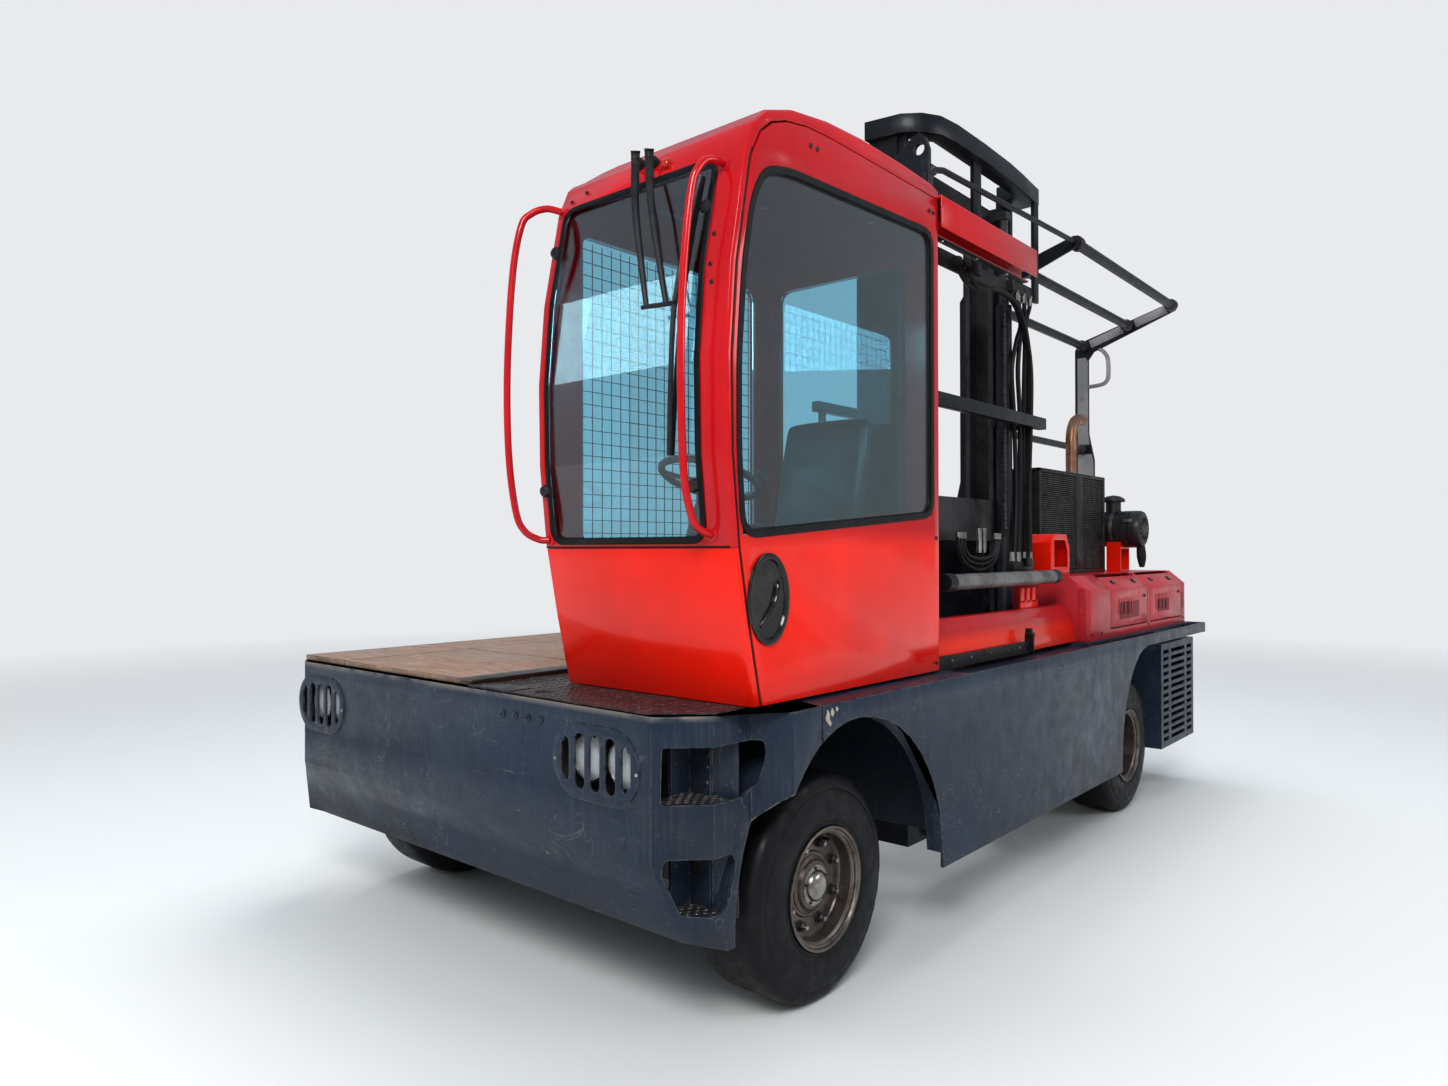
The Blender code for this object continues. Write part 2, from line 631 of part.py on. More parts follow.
def knuckle(side, way):
    """Kingpin, steering arm and spindle of one front wheel."""
    pin_x = way * (TRACK / 2 - KINGPIN_INSET)
    pivot = empty("steer_" + side, (pin_x, FRONT_AXLE_Y, AXLE_Z))
    y, z = FRONT_AXLE_Y, AXLE_Z
    block = box((pin_x - 0.042, y - 0.046, z - 0.069), (pin_x + 0.042, y + 0.046, z + 0.069))
    pin = rod((pin_x, y, z - 0.118), (pin_x, y, z + 0.118), KINGPIN_R, 12)
    spindle = rod((pin_x, y, z), (way * SPINDLE_END, y, z), SPINDLE_R, 16)
    arm = box((pin_x - 0.03, y + 0.040, z - 0.02), (pin_x + 0.03, y + 0.150, z + 0.02))
    place_object("knuckle_" + side, fuse(block, pin, spindle, arm), "mast_black", pivot)
    return pivot


def rear_axle():
    """The driven axle: a round beam with a differential bowl, spring seats and stub ends."""
    end_x = STUB_END
    beam = turned([(0, STUB_R), (0.12, STUB_R), (0.12, 0.062), (end_x - 0.20, 0.075), (end_x - 0.14, 0.17),
                   (end_x + 0.14, 0.17), (end_x + 0.20, 0.075), (2 * end_x - 0.12, 0.062),
                   (2 * end_x - 0.12, STUB_R), (2 * end_x, STUB_R)],
                  (-end_x, REAR_AXLE_Y, AXLE_Z), (1, 0, 0), 16)
    shapes = [beam]
    for x in (-RAIL_X, RAIL_X):
        shapes.append(box((x - 0.05, REAR_AXLE_Y - 0.10, AXLE_Z + 0.03),
                          (x + 0.05, REAR_AXLE_Y + 0.10, RAIL_LOW_Z - GAP)))
    return place_object("rear_axle", fuse(*shapes), "mast_black")


# Tyre section: distance from the outer face, radius
TYRE_SECTION = [(0.000, 0.225), (-0.006, 0.262), (0.000, 0.345), (0.016, 0.384), (0.045, TYRE_R),
                (TYRE_WIDTH - 0.045, TYRE_R), (TYRE_WIDTH - 0.016, 0.384), (TYRE_WIDTH, 0.345),
                (TYRE_WIDTH + 0.006, 0.262), (TYRE_WIDTH, 0.225), (TYRE_WIDTH - 0.012, BEAD_R + GAP),
                (0.012, BEAD_R + GAP)]


def tyre(name, centre, way, pivot):
    start = Vector(centre) + Vector((way * TYRE_WIDTH / 2, 0, 0))
    bm = turned(TYRE_SECTION, start, (-way, 0, 0), ROUND, closed=True)
    return place_object(name, bm, "rubber", pivot, smooth=True)


def rim_shell(centre, way, dish, hole_r):
    """Barrel, flanges and disc; dish is the disc's depth behind the wheel's outer face."""
    outer = Vector(centre) + Vector((way * TYRE_WIDTH / 2, 0, 0))
    inner = BEAD_R - 0.010
    lip = 0.008
    section = [(-lip, RIM_FLANGE_R), (-lip, RIM_FLANGE_R - 0.010), (0.012, inner), (dish, inner), (dish, hole_r),
               (dish + DISC_T, hole_r), (dish + DISC_T, inner), (TYRE_WIDTH - 0.012, inner),
               (TYRE_WIDTH + lip, RIM_FLANGE_R - 0.010), (TYRE_WIDTH + lip, RIM_FLANGE_R),
               (TYRE_WIDTH + 0.001, BEAD_R), (-0.001, BEAD_R)]
    return turned(section, outer, (-way, 0, 0), ROUND, closed=True)


def wheel(name, y, way, steered, parent):
    """One wheel: a tyre, and a rim with its disc and hub cap."""
    centre = (way * TRACK / 2, y, AXLE_Z)
    pivot = empty("spin_" + name, centre, parent)
    tyre("tyre_" + name, centre, way, pivot)
    # The steered wheel's disc sits near its outer face, the driven one's deep inside
    dish, nose, back, shaft_r, shaft_end = ((0.075, 0.062, 0.050, SPINDLE_R, SPINDLE_END) if steered
                                            else (0.185, 0.110, 0.020, STUB_R, STUB_END))
    shell = rim_shell(centre, way, dish, shaft_r + 0.010)
    disc_x = way * (TRACK / 2 + TYRE_WIDTH / 2 - dish)
    cap = turned([(0, HUB_R), (back, HUB_R), (back + nose * 0.35, HUB_R * 0.80), (back + nose * 0.8, HUB_R * 0.62),
                  (back + nose, HUB_R * 0.36)], (disc_x - way * back, y, AXLE_Z), (way, 0, 0), 16)
    socket = bore((way * (TRACK / 2 - 0.30), y, AXLE_Z), (way * (shaft_end + 0.004), y, AXLE_Z), shaft_r)
    place_object("rim_" + name, fuse(shell, cut(cap, socket)), "rim_grey", pivot, smooth=True)


# Engine bay
def engine_cover():
    """The hood over the engine: a folded shell, open below, with a hole for each hatch."""
    line = [(COVER_X, DECK_Z + GAP), (COVER_X, COVER_EDGE_Z), (COVER_X - 0.10, COVER_TOP_Z),
            (COVER_INNER_X, COVER_TOP_Z), (COVER_INNER_X, DECK_Z + GAP)]
    wall = COVER_T
    inner = [(COVER_X - wall, DECK_Z - 0.05), (COVER_X - wall, COVER_EDGE_Z - 0.008),
             (COVER_X - 0.10 - 0.008, COVER_TOP_Z - wall), (COVER_INNER_X + wall, COVER_TOP_Z - wall),
             (COVER_INNER_X + wall, DECK_Z - 0.05)]
    shell = prism(line, "Y", COVER_FRONT_Y, COVER_REAR_Y)
    hollow = prism(inner, "Y", COVER_FRONT_Y + wall, COVER_REAR_Y - wall)
    chamfer = prism([(COVER_X + 0.05, COVER_FRONT_Y - 0.05), (COVER_X - 0.10, COVER_FRONT_Y - 0.05),
                     (COVER_X + 0.05, COVER_FRONT_Y + 0.12)], "Z", DECK_Z - 0.1, COVER_TOP_Z + 0.1)
    holes = [hatch_hole(start, end) for _, start, end in HATCHES]
    pins = []
    for _, start, end in HATCHES:
        for y, way in ((start, 1), (end, -1)):
            pins.append(rod((HINGE_X, y - way * 0.012, HINGE_Z), (HINGE_X, y + way * 0.020, HINGE_Z), HINGE_PIN_R, 8))
    return place_object("engine_cover", fuse(cut(shell, chamfer, hollow, *holes), *pins), "crimson")


# Hatches: name, start and end along the truck
HATCHES = [("front", COVER_FRONT_Y + 0.38, COVER_FRONT_Y + 1.06), ("rear", COVER_FRONT_Y + 1.10, COVER_REAR_Y - 0.08)]
HATCH_LOW_Z = 1.125
HINGE_X = COVER_X - 0.008
HINGE_Z = HATCH_LOW_Z + 0.012
HINGE_PIN_R = 0.003


def hatch_hole(start, end):
    line = [(COVER_X + 0.05, HATCH_LOW_Z), (COVER_X - 0.05, HATCH_LOW_Z), (COVER_X - 0.05, 1.34),
            (COVER_X - 0.14, 1.415), (COVER_X - 0.05, 1.50), (COVER_X + 0.05, 1.38)]
    return prism(line, "Y", start, end)


def hatch(name, start, end):
    """One hinged side flap of the engine hood, with its row of slots."""
    pivot = empty("hinge_hatch_" + name, (HINGE_X, (start + end) / 2, HINGE_Z))
    low = HATCH_LOW_Z + HATCH_GAP
    line = [(COVER_X, low), (COVER_X, COVER_EDGE_Z), (COVER_X - 0.083, COVER_TOP_Z - 0.0145),
            (COVER_X - 0.090, COVER_TOP_Z - 0.0255), (COVER_X - 0.014, COVER_EDGE_Z - 0.006), (COVER_X - 0.014, low)]
    flap = prism(line, "Y", start + HATCH_GAP, end - HATCH_GAP)
    slots = []
    for number in range(9):
        y = start + 0.12 + number * 0.030
        slots.append(box((COVER_X - 0.05, y, 1.20), (COVER_X + 0.05, y + 0.013, 1.30)))
    holes = [bore((HINGE_X, y - 0.022, HINGE_Z), (HINGE_X, y + 0.022, HINGE_Z), HINGE_PIN_R, 8) for y in (start, end)]
    return place_object("hatch_" + name, cut(flap, *slots, *holes), "crimson", pivot)


def lower_cover():
    """The sloped red cover over the beam between the cab and the engine."""
    line = [(1.150, DECK_Z + GAP), (1.128, 1.16), (1.120, 1.235), (1.085, 1.285), (1.040, 1.285), (1.040, DECK_Z + GAP)]
    cover = prism(line, "Y", WELL_FRONT_Y - 0.015, COVER_FRONT_Y - GAP)
    return place_object("lower_cover", cover, "crimson")


def engine_block():
    low_x = RAIL_X + RAIL_W / 2 + GAP
    block = box((low_x + 0.015, 0.98, 0.70), (0.865, REAR_Y - 0.34, 1.38))
    feet = [box((low_x, y, 0.76), (low_x + 0.03, y + 0.14, 0.84)) for y in (1.15, 1.95)]
    return place_object("engine_block", fuse(block, *feet), "mast_black")


COOLER_LOW = (0.47, 0.85, COVER_TOP_Z + GAP)
COOLER_HIGH = (0.85, 1.96, 2.08)
EXHAUST_X = 0.79
EXHAUST_Y = 1.51
EXHAUST_R = 0.036


def cooler_guard():
    """The mesh box over the cooler, as a hollow sheet box open at its foot."""
    low, high = COOLER_LOW, COOLER_HIGH
    shell = box(low, high)
    hollow = box((low[0] + 0.008, low[1] + 0.008, low[2] - 0.05), (high[0] - 0.008, high[1] - 0.008, high[2] - 0.008))
    outlet = rod((EXHAUST_X, EXHAUST_Y, high[2] - 0.05), (EXHAUST_X, EXHAUST_Y, high[2] + 0.05), EXHAUST_R + 0.008, 16)
    return place_object("cooler_guard", cut(shell, hollow, outlet), "mast_black")


def exhaust_pipe():
    """The bent tail pipe that rises out of the cooler's guard."""
    x, y, turn = EXHAUST_X, EXHAUST_Y, 0.12
    bend = [(x, y + turn * (1 - cos(radians(a))), 2.33 + turn * sin(radians(a))) for a in range(0, 91, 18)]
    route = [(x, y, COVER_TOP_Z + GAP)] + bend + [(x, y + 0.22, 2.33 + turn)]
    return place_object("exhaust_pipe", pipe(route, EXHAUST_R, 14), "exhaust", smooth=True)


CLEANER_Y = 2.12
CLEANER_Z = 1.73
CLEANER_START_X = 0.78
CLEANER_R = 0.125


def air_cleaner():
    """The air cleaner, lying across the hood, with its dust spout and its rain cap."""
    y, z = CLEANER_Y, CLEANER_Z
    body = turned([(0, 0.09), (0.02, 0.115), (0.05, CLEANER_R), (0.20, CLEANER_R), (0.205, CLEANER_R + 0.013),
                   (0.285, CLEANER_R + 0.013), (0.305, 0.11)], (CLEANER_START_X, y, z), (1, 0, 0), 24)
    spout = turned([(0, 0.025), (0.10, 0.034), (0.15, 0.012)], (1.035, y, z - 0.12), (0, 0, -1), 12)
    stack = rod((0.835, y, z + 0.08), (0.835, y, z + 0.20), 0.045, 14)
    cap = turned([(0, 0.085), (0.03, 0.085), (0.05, 0.05)], (0.835, y, z + 0.19), (0, 0, 1), 16)
    return place_object("air_cleaner", fuse(body, spout, stack, cap), "dark_plastic", smooth=True)


def air_cleaner_bracket():
    """The saddle under the air cleaner."""
    y = CLEANER_Y
    block = box((0.835, y - 0.09, COVER_TOP_Z + GAP), (0.930, y + 0.09, CLEANER_Z - 0.05))
    body = rod((0.7, y, CLEANER_Z), (1.1, y, CLEANER_Z), CLEANER_R + GAP, 24)
    hollow = box((0.7, y - 0.078, COVER_TOP_Z + 0.012), (1.1, y + 0.078, CLEANER_Z - CLEANER_R - 0.012))
    return place_object("air_cleaner_bracket", cut(block, body, hollow), "cab_red")


# Guard bars: x, z of each bar, from the arm's tip inwards, then the low bar on the post
GUARD_BARS = [(1.150, 3.300), (0.850, 3.205), (0.530, 3.100), (0.520, 2.335)]


def load_guard():
    """Two plate posts with leaning arms, and four bars along the truck between them."""
    shapes = []
    for y in (GUARD_FRONT_Y - GUARD_PLATE, GUARD_REAR_Y):
        post = [(0.415, DECK_Z + GAP), (0.456, DECK_Z + GAP), (0.456, COVER_TOP_Z + 0.004), (0.600, COVER_TOP_Z + 0.004),
                (0.600, 2.25), (0.560, 2.45), (0.560, 3.00), (0.600, 3.055), (1.165, 3.270), (1.180, 3.300),
                (1.150, 3.335), (0.500, 3.135), (0.460, 3.080), (0.460, 2.0), (0.415, 1.80)]
        shapes.append(prism(post, "Y", y, y + GUARD_PLATE))
    for x, z in GUARD_BARS:
        shapes.append(rod((x, GUARD_FRONT_Y - 0.010, z), (x, GUARD_REAR_Y + 0.010, z), BAR_R, 12))
    return place_object("load_guard", fuse(*shapes), "mast_black")


def lug_post():
    """The lifting post behind the cab: its lug plate, and the stay to the load guard."""
    x, y = 1.09, -1.005
    end_y = GUARD_FRONT_Y - GUARD_PLATE - GAP
    post = box((x - 0.035, y - 0.03, 1.2855), (x + 0.035, y + 0.03, 3.20))
    plate_line = [(x - 0.17, 3.10), (x + 0.045, 3.10), (x + 0.045, 3.31), (x + 0.03, 3.36), (x, 3.385), (x - 0.04, 3.37),
                  (x - 0.17, 3.27)]
    plate = prism(plate_line, "Y", y - 0.012, y + 0.012)
    hole = rod((x + 0.0, y - 0.05, 3.315), (x + 0.0, y + 0.05, 3.315), 0.026, 16)
    stay = pipe([(x + 0.03, y, 3.20), (x + 0.035, y + 0.05, 3.235), (x + 0.045, y + 0.12, 3.25),
                 (1.150, end_y - 0.03, 3.300), (1.150, end_y, 3.300)], 0.014, 10)
    return place_object("lug_post", fuse(cut(plate, hole), post, stay), "mast_black")


def hose_guard():
    """The red housing where the hoses leave the engine bay, with its window and comb."""
    x0, x1 = 0.86, 1.00
    y0, y1 = 0.64, 0.92
    wall = 0.008
    line = [(y0, COVER_TOP_Z + GAP), (y1, COVER_TOP_Z + GAP), (y1, 1.60), (y1 - 0.05, 1.68), (y0 + 0.04, 1.68),
            (y0, 1.63)]
    inside = [(y0 + wall, COVER_TOP_Z - 0.05), (y1 - wall, COVER_TOP_Z - 0.05), (y1 - wall, 1.597),
              (y1 - 0.055, 1.68 - wall), (y0 + 0.044, 1.68 - wall), (y0 + wall, 1.627)]
    shell = prism(line, "X", x0, x1)
    hollow = prism(inside, "X", x0 + wall, x1 - wall)
    opening = [(y0 + 0.05, 1.49), (y1 - 0.03, 1.49), (y1 - 0.03, 1.58), (y1 - 0.065, 1.645), (y0 + 0.05, 1.645)]
    window = prism(opening, "X", x1 - 0.03, x1 + 0.05)
    return place_object("hose_guard", cut(shell, hollow, window), "cab_red")


# Cab side profile: y, z of the outer skin, from the foot of the front to the foot of the rear
CAB_PROFILE = ([(-2.285, CAB_FLOOR_Z), (-2.345, 1.35), (-2.393, CAB_BELT_Z), (-2.425, 1.90), (-2.430, 2.20),
                (-2.405, 2.50), (-2.335, 2.86), (-2.290, 2.965)]
               + [(-2.215, 3.035), (-2.08, 3.082), (-1.875, 3.113), (-1.65, ROOF_TOP_Z), (-1.35, 3.122),
                  (-1.12, 3.112), (CAB_REAR_Y, 3.100), (CAB_REAR_Y, CAB_FLOOR_Z)])


CAB_FRONT = CAB_PROFILE[:9]


def front_behind(distance):
    """The front profile moved in by a distance, from its head to its foot."""
    return strip(list(reversed(CAB_FRONT)), distance)[len(CAB_FRONT):][::-1]


def ahead_of_front(distance):
    """A cutter for everything ahead of the front profile moved in by a distance."""
    line = front_behind(distance)
    return prism([(-3.0, 3.3), (line[0][0] + 0.05, 3.3), *line, (line[-1][0], 0.9), (-3.0, 0.9)], "X", 0.0, 1.5)


def front_sheet(low, high, outer, inner, low_x, high_x):
    """A bent sheet that follows the cab's front, between two depths and two heights."""
    ahead = front_behind(outer) if outer else list(reversed(CAB_FRONT))
    sheet = prism(ahead + front_behind(inner)[::-1], "X", low_x, high_x)
    band = box((low_x - 0.01, -3.0, low), (high_x + 0.01, -1.9, high))
    return combine(sheet, [band], "INTERSECT")


# The head of the door: y, z of its rounded front corner and its level top
DOOR_HEAD = [(-2.255, 2.945), (-2.195, 2.992), (-2.115, 3.022), (-2.00, 3.042), (-1.85, 3.049)]
DOOR_HEAD_START_Z = 2.90
DOOR_BEHIND_FRONT = 0.030
RIM_CLEAR = 0.006
RIM_X = 1.206
RIM_ROUND = 0.018


def door_edge(distance, lift):
    """The door's edge from its foot, up its front and back along its top, moved out by a lift."""
    front = [point for point in reversed(front_behind(distance)) if point[1] < DOOR_HEAD_START_Z]
    head = [(y - lift * 0.6, z + lift) for y, z in DOOR_HEAD]
    return front + head


def rim(low, high):
    """The rounded band round the door, between two heights."""
    outer = CAB_PROFILE[:-1]
    inner = door_edge(DOOR_BEHIND_FRONT - RIM_CLEAR, RIM_CLEAR)
    inner.append((CAB_REAR_Y, inner[-1][1]))
    band = prism(outer + inner[::-1], "X", CAB_OUTER_X - 0.005, RIM_X)
    edges = [edge for edge in band.edges
             if all(abs(vert.co.x - RIM_X) < 1e-6
                    and any(abs(vert.co.y - y) + abs(vert.co.z - z) < 1e-6 for y, z in outer)
                    for vert in edge.verts)
             and (edge.verts[0].co - edge.verts[1].co).length < 0.5]
    bmesh.ops.bevel(band, geom=edges, offset=RIM_ROUND, segments=2, profile=0.5, affect="EDGES")
    return combine(band, [box((CAB_OUTER_X - 0.01, -3.0, low), (RIM_X + 0.05, -0.9, high))], "INTERSECT")


WINDSCREEN = (1.625, 2.865)
WINDSCREEN_X = (CAB_INNER_X + 0.045, 1.085)


def cab_front_panel():
    """The red panel below the windscreen, with the foot of the band round the door."""
    sheet = front_sheet(CAB_FLOOR_Z, CAB_BELT_Z - GAP, 0.0, CAB_WALL, CAB_INNER_X, CAB_OUTER_X)
    return place_object("cab_front_panel", fuse(sheet, rim(CAB_FLOOR_Z, CAB_BELT_Z - GAP)), "cab_red")


def cab_frame():
    """Front pillars, sill and header round the windscreen, as one welded frame."""
    sheet = front_sheet(CAB_BELT_Z, CAB_HEAD_Z, 0.0, CAB_WALL, CAB_INNER_X, CAB_OUTER_X)
    window = prism(rounded((WINDSCREEN_X[0], WINDSCREEN[0]), (WINDSCREEN_X[1], WINDSCREEN[1]), 0.045),
                   "Y", -2.6, -2.1)
    return place_object("cab_frame", fuse(cut(sheet, window), rim(CAB_BELT_Z, CAB_HEAD_Z)), "crimson")


# How far the roof's skin drops towards the load side: distance from the wall, drop
ROOF_DROP = [(0.0, 0.080), (0.018, 0.046), (0.055, 0.020), (0.11, 0.006), (0.20, 0.0)]


def loft(sections):
    """A closed body through sections of x and the same count of y, z points."""
    bm = bmesh.new()
    rings = [[bm.verts.new((x, y, z)) for y, z in line] for x, line in sections]
    for lower, upper in zip(rings, rings[1:]):
        for index in range(len(lower)):
            after = (index + 1) % len(lower)
            bm.faces.new((lower[index], lower[after], upper[after], upper[index]))
    bm.faces.new(rings[0][::-1])
    bm.faces.new(rings[-1])
    return bm


def cab_roof():
    """The crowned roof panel, rounded down to the load side, with the beam and the band over the door."""
    foot = CAB_HEAD_Z + GAP
    outer = CAB_PROFILE[8:15]
    inner = [(-1.12, foot), (-1.35, 3.050), (-1.65, 3.075), (-1.875, 3.063), (-2.08, 3.035), (-2.20, foot)]
    sections = []
    for distance, drop in ROOF_DROP + [(CAB_OUTER_X - CAB_INNER_X, 0.0)]:
        share = 1.0 - drop / 0.085
        line = [(-2.262, foot)]
        line += [(y + drop * 0.4 * (y < -2.0), z - drop * min(1.0, (z - foot) / 0.09)) for y, z in outer]
        line.append((CAB_REAR_Y, foot))
        line += [(y, foot + (z - foot) * share) for y, z in inner]
        sections.append((CAB_INNER_X + distance, line))
    shell = loft(sections)
    beam = prism([(-2.262, foot), *outer, (CAB_REAR_Y, foot)], "X", CAB_OUTER_X - 0.045, CAB_OUTER_X)
    place_object("cab_roof", fuse(shell, beam, rim(foot, 3.3)), "crimson")


REAR_WINDOW = ((CAB_INNER_X + 0.10, 1.75), (CAB_OUTER_X - 0.10, 2.80))
SIDE_WINDOW = ((-2.25, 1.62), (-1.20, 2.80))


def cab_rear_wall():
    wall = box((CAB_INNER_X, CAB_REAR_Y - CAB_WALL, CAB_FLOOR_Z), (CAB_OUTER_X, CAB_REAR_Y, CAB_HEAD_Z))
    window = prism(rounded(*REAR_WINDOW, 0.05), "Y", CAB_REAR_Y - 0.1, CAB_REAR_Y + 0.1)
    notch = box((TRACK_X - GAP, -2.0, TRACK_Z - GAP), (CAB_OUTER_X + 0.01, -0.9, CAB_HEAD_Z + 0.01))
    place_object("cab_rear_wall", cut(wall, window, notch), "crimson")
    glass = prism(rounded(*inset_by(REAR_WINDOW, GAP), 0.05), "Y", CAB_REAR_Y - 0.024, CAB_REAR_Y - 0.016)
    place_object("cab_rear_glass", glass, "glass")


def inset_by(corners, distance):
    low, high = corners
    return ((low[0] + distance, low[1] + distance), (high[0] - distance, high[1] - distance))


def cab_inner_wall():
    """The wall on the load side, with its window."""
    wall = box((CAB_INNER_X, -2.5, CAB_FLOOR_Z), (CAB_INNER_X + CAB_WALL, CAB_REAR_Y - CAB_WALL - GAP, CAB_HEAD_Z))
    wall = cut(wall, ahead_of_front(CAB_WALL + GAP))
    window = prism(rounded(*SIDE_WINDOW, 0.05), "X", CAB_INNER_X - 0.1, CAB_INNER_X + 0.1)
    place_object("cab_inner_wall", cut(wall, window), "crimson")
    glass = prism(rounded(*inset_by(SIDE_WINDOW, GAP), 0.05), "X", CAB_INNER_X + 0.016, CAB_INNER_X + 0.024)
    place_object("cab_inner_glass", glass, "glass")


def cab_floor():
    front = CAB_PROFILE[0][0] + CAB_WALL + 0.02
    low = box((CAB_INNER_X + CAB_WALL + GAP, front, CAB_FLOOR_Z),
              (CAB_OUTER_X, CAB_REAR_Y - CAB_WALL - GAP, CAB_FLOOR_Z + 0.03))
    return place_object("cab_floor", low, "dark_plastic")


def cab_windscreen():
    """The curved glass, set between the pillars."""
    low, high = WINDSCREEN[0] + GAP, WINDSCREEN[1] - GAP
    low_x, high_x = WINDSCREEN_X[0] + GAP, WINDSCREEN_X[1] - GAP
    sheet = front_sheet(low, high, 0.008, 0.016, low_x, high_x)
    edge = prism(rounded((low_x, low), (high_x, high), 0.045), "Y", -2.6, -2.1)
    return place_object("cab_windscreen", combine(sheet, [edge], "INTERSECT"), "glass")


def cab_seat():
    """Seat base, cushion and back."""
    x, y = 0.74, -1.50
    floor = CAB_FLOOR_Z + 0.03 + GAP
    base = box((x - 0.17, y - 0.20, floor), (x + 0.17, y + 0.20, 1.42))
    cushion = prism(rounded((x - 0.24, y - 0.27), (x + 0.24, y + 0.24), 0.07), "Z", 1.41, 1.55)
    back_line = [(y + 0.13, 1.50), (y + 0.25, 1.50), (y + 0.36, 2.12), (y + 0.32, 2.18), (y + 0.26, 2.16)]
    back = prism(back_line, "X", x - 0.23, x + 0.23)
    return place_object("cab_seat", fuse(base, cushion, back), "dark_plastic")


def cab_console():
    """Dash box with the steering column and wheel."""
    x = 0.74
    floor = CAB_FLOOR_Z + 0.03 + GAP
    dash = prism([(-2.40, floor), (-2.06, floor), (-2.10, 1.50), (-2.20, 1.62), (-2.40, 1.58)],
                 "X", CAB_INNER_X + 0.10, CAB_OUTER_X - 0.12)
    dash = cut(dash, ahead_of_front(CAB_WALL + 0.01))
    foot = Vector((x, -2.13, 1.45))
    head = Vector((x, -1.98, 1.86))
    column = rod(foot, head, 0.035, 10)
    along = (head - foot).normalized()
    ring = torus(head, along, 0.185, 0.014, 20, 6)
    spokes = []
    lean, side, up = frame_of(along)
    for angle in (90, 210, 330):
        reach = side * cos(radians(angle)) + up * sin(radians(angle))
        spokes.append(rod(head - along * 0.004 + reach * 0.01, head + reach * 0.184, 0.010, 6))
    return place_object("cab_console", fuse(dash, column, *spokes, ring), "dark_plastic")


def torus(centre, direction, radius, thick, steps, sides):
    along, side, up = frame_of(direction)
    bm = bmesh.new()
    rings = []
    for step in range(steps):
        angle = 2 * pi * step / steps
        out = side * cos(angle) + up * sin(angle)
        ring = []
        for turn in range(sides):
            around = 2 * pi * turn / sides
            ring.append(bm.verts.new(centre + out * (radius + thick * cos(around)) + along * thick * sin(around)))
        rings.append(ring)
    for step in range(steps):
        lower, upper = rings[step], rings[(step + 1) % steps]
        for turn in range(sides):
            after = (turn + 1) % sides
            bm.faces.new((lower[turn], lower[after], upper[after], upper[turn]))
    bmesh.ops.recalc_face_normals(bm, faces=bm.faces)
    return bm


def door_rails():
    """The covered rail above the door's way and the open one below it."""
    end = DOOR_REAR_Y + DOOR_TRAVEL + 0.02
    foot = TRACK_Z
    head = CAB_HEAD_Z
    wall = TRACK_WALL
    track = [(TRACK_X, foot), (TRACK_EDGE_X, foot), (TRACK_EDGE_X, foot + wall), (TRACK_X + wall, foot + wall),
             (TRACK_X + wall, head - wall), (TRACK_EDGE_X, head - wall), (TRACK_EDGE_X, head), (TRACK_X, head)]
    cover = [(TRACK_X, head - wall), (TRACK_X + wall, head - wall), (TRACK_X + wall, 3.062), (COVER_LIP_X - wall, 3.062),
             (COVER_LIP_X - wall, 2.940), (COVER_LIP_X, 2.940), (COVER_LIP_X, 3.070), (COVER_LIP_X - wall, 3.077),
             (TRACK_X, 3.072)]
    place_object("door_rail_upper", fuse(prism(track, "Y", TRACK_START_Y, end), prism(cover, "Y", CAB_REAR_Y + GAP, end)),
                 "crimson")
    channel = [(1.1555, DECK_Z + 0.0065), (1.178, DECK_Z + 0.0065), (1.178, 1.135), (1.1555, 1.135)]
    rail = prism(channel, "Y", CAB_REAR_Y + 0.003, end)
    stop = box((1.1555, end - 0.014, DECK_Z + 0.0065), (1.200, end, 1.16))
    foot = box((1.1555, CAB_REAR_Y + 0.05, DECK_Z + GAP), (1.178, end - 0.002, DECK_Z + 0.008))
    place_object("door_rail_lower", fuse(rail, stop, foot), "worn_steel")


def grab_rails():
    """The two bent handrails beside the windscreen."""
    left = [(CAB_INNER_X + 0.022, -2.30, 2.83), (CAB_INNER_X + 0.012, -2.40, 2.86),
            (CAB_INNER_X - 0.045, -2.47, 2.80), (CAB_INNER_X - 0.065, -2.50, 2.60), (CAB_INNER_X - 0.075, -2.52, 2.25),
            (CAB_INNER_X - 0.065, -2.52, 1.95), (CAB_INNER_X - 0.045, -2.50, 1.72), (CAB_INNER_X - 0.01, -2.46, 1.63),
            (CAB_INNER_X + 0.022, -2.36, 1.63)]
    right = [(1.125, -2.30, 2.83), (1.120, -2.43, 2.81), (1.105, -2.475, 2.72), (1.09, -2.50, 2.45),
             (1.09, -2.51, 2.15), (1.09, -2.50, 1.85), (1.10, -2.475, 1.70), (1.12, -2.36, 1.640)]
    for side, route in (("left", left), ("right", right)):
        body = prism([(y - GAP, z) for y, z in CAB_FRONT] + [(-1.5, 3.035), (-1.5, CAB_FLOOR_Z)], "X", 0.0, 1.5)
        place_object("grab_rail_" + side, cut(pipe(route, 0.013, 8), body), "cab_red", smooth=True)


def beacon():
    """The amber lamp on the roof."""
    x, y = 0.82, -1.59
    solid = turned([(0, 0.062), (0.02, 0.062), (0.022, 0.052), (0.07, 0.050), (0.10, 0.036), (0.112, 0.014)],
                   (x, y, ROOF_TOP_Z + GAP), (0, 0, 1), 18)
    return place_object("beacon", solid, "amber", smooth=True)


DOOR_WINDOW = ((-2.352, 1.640), (DOOR_REAR_Y - 0.055, 2.80))


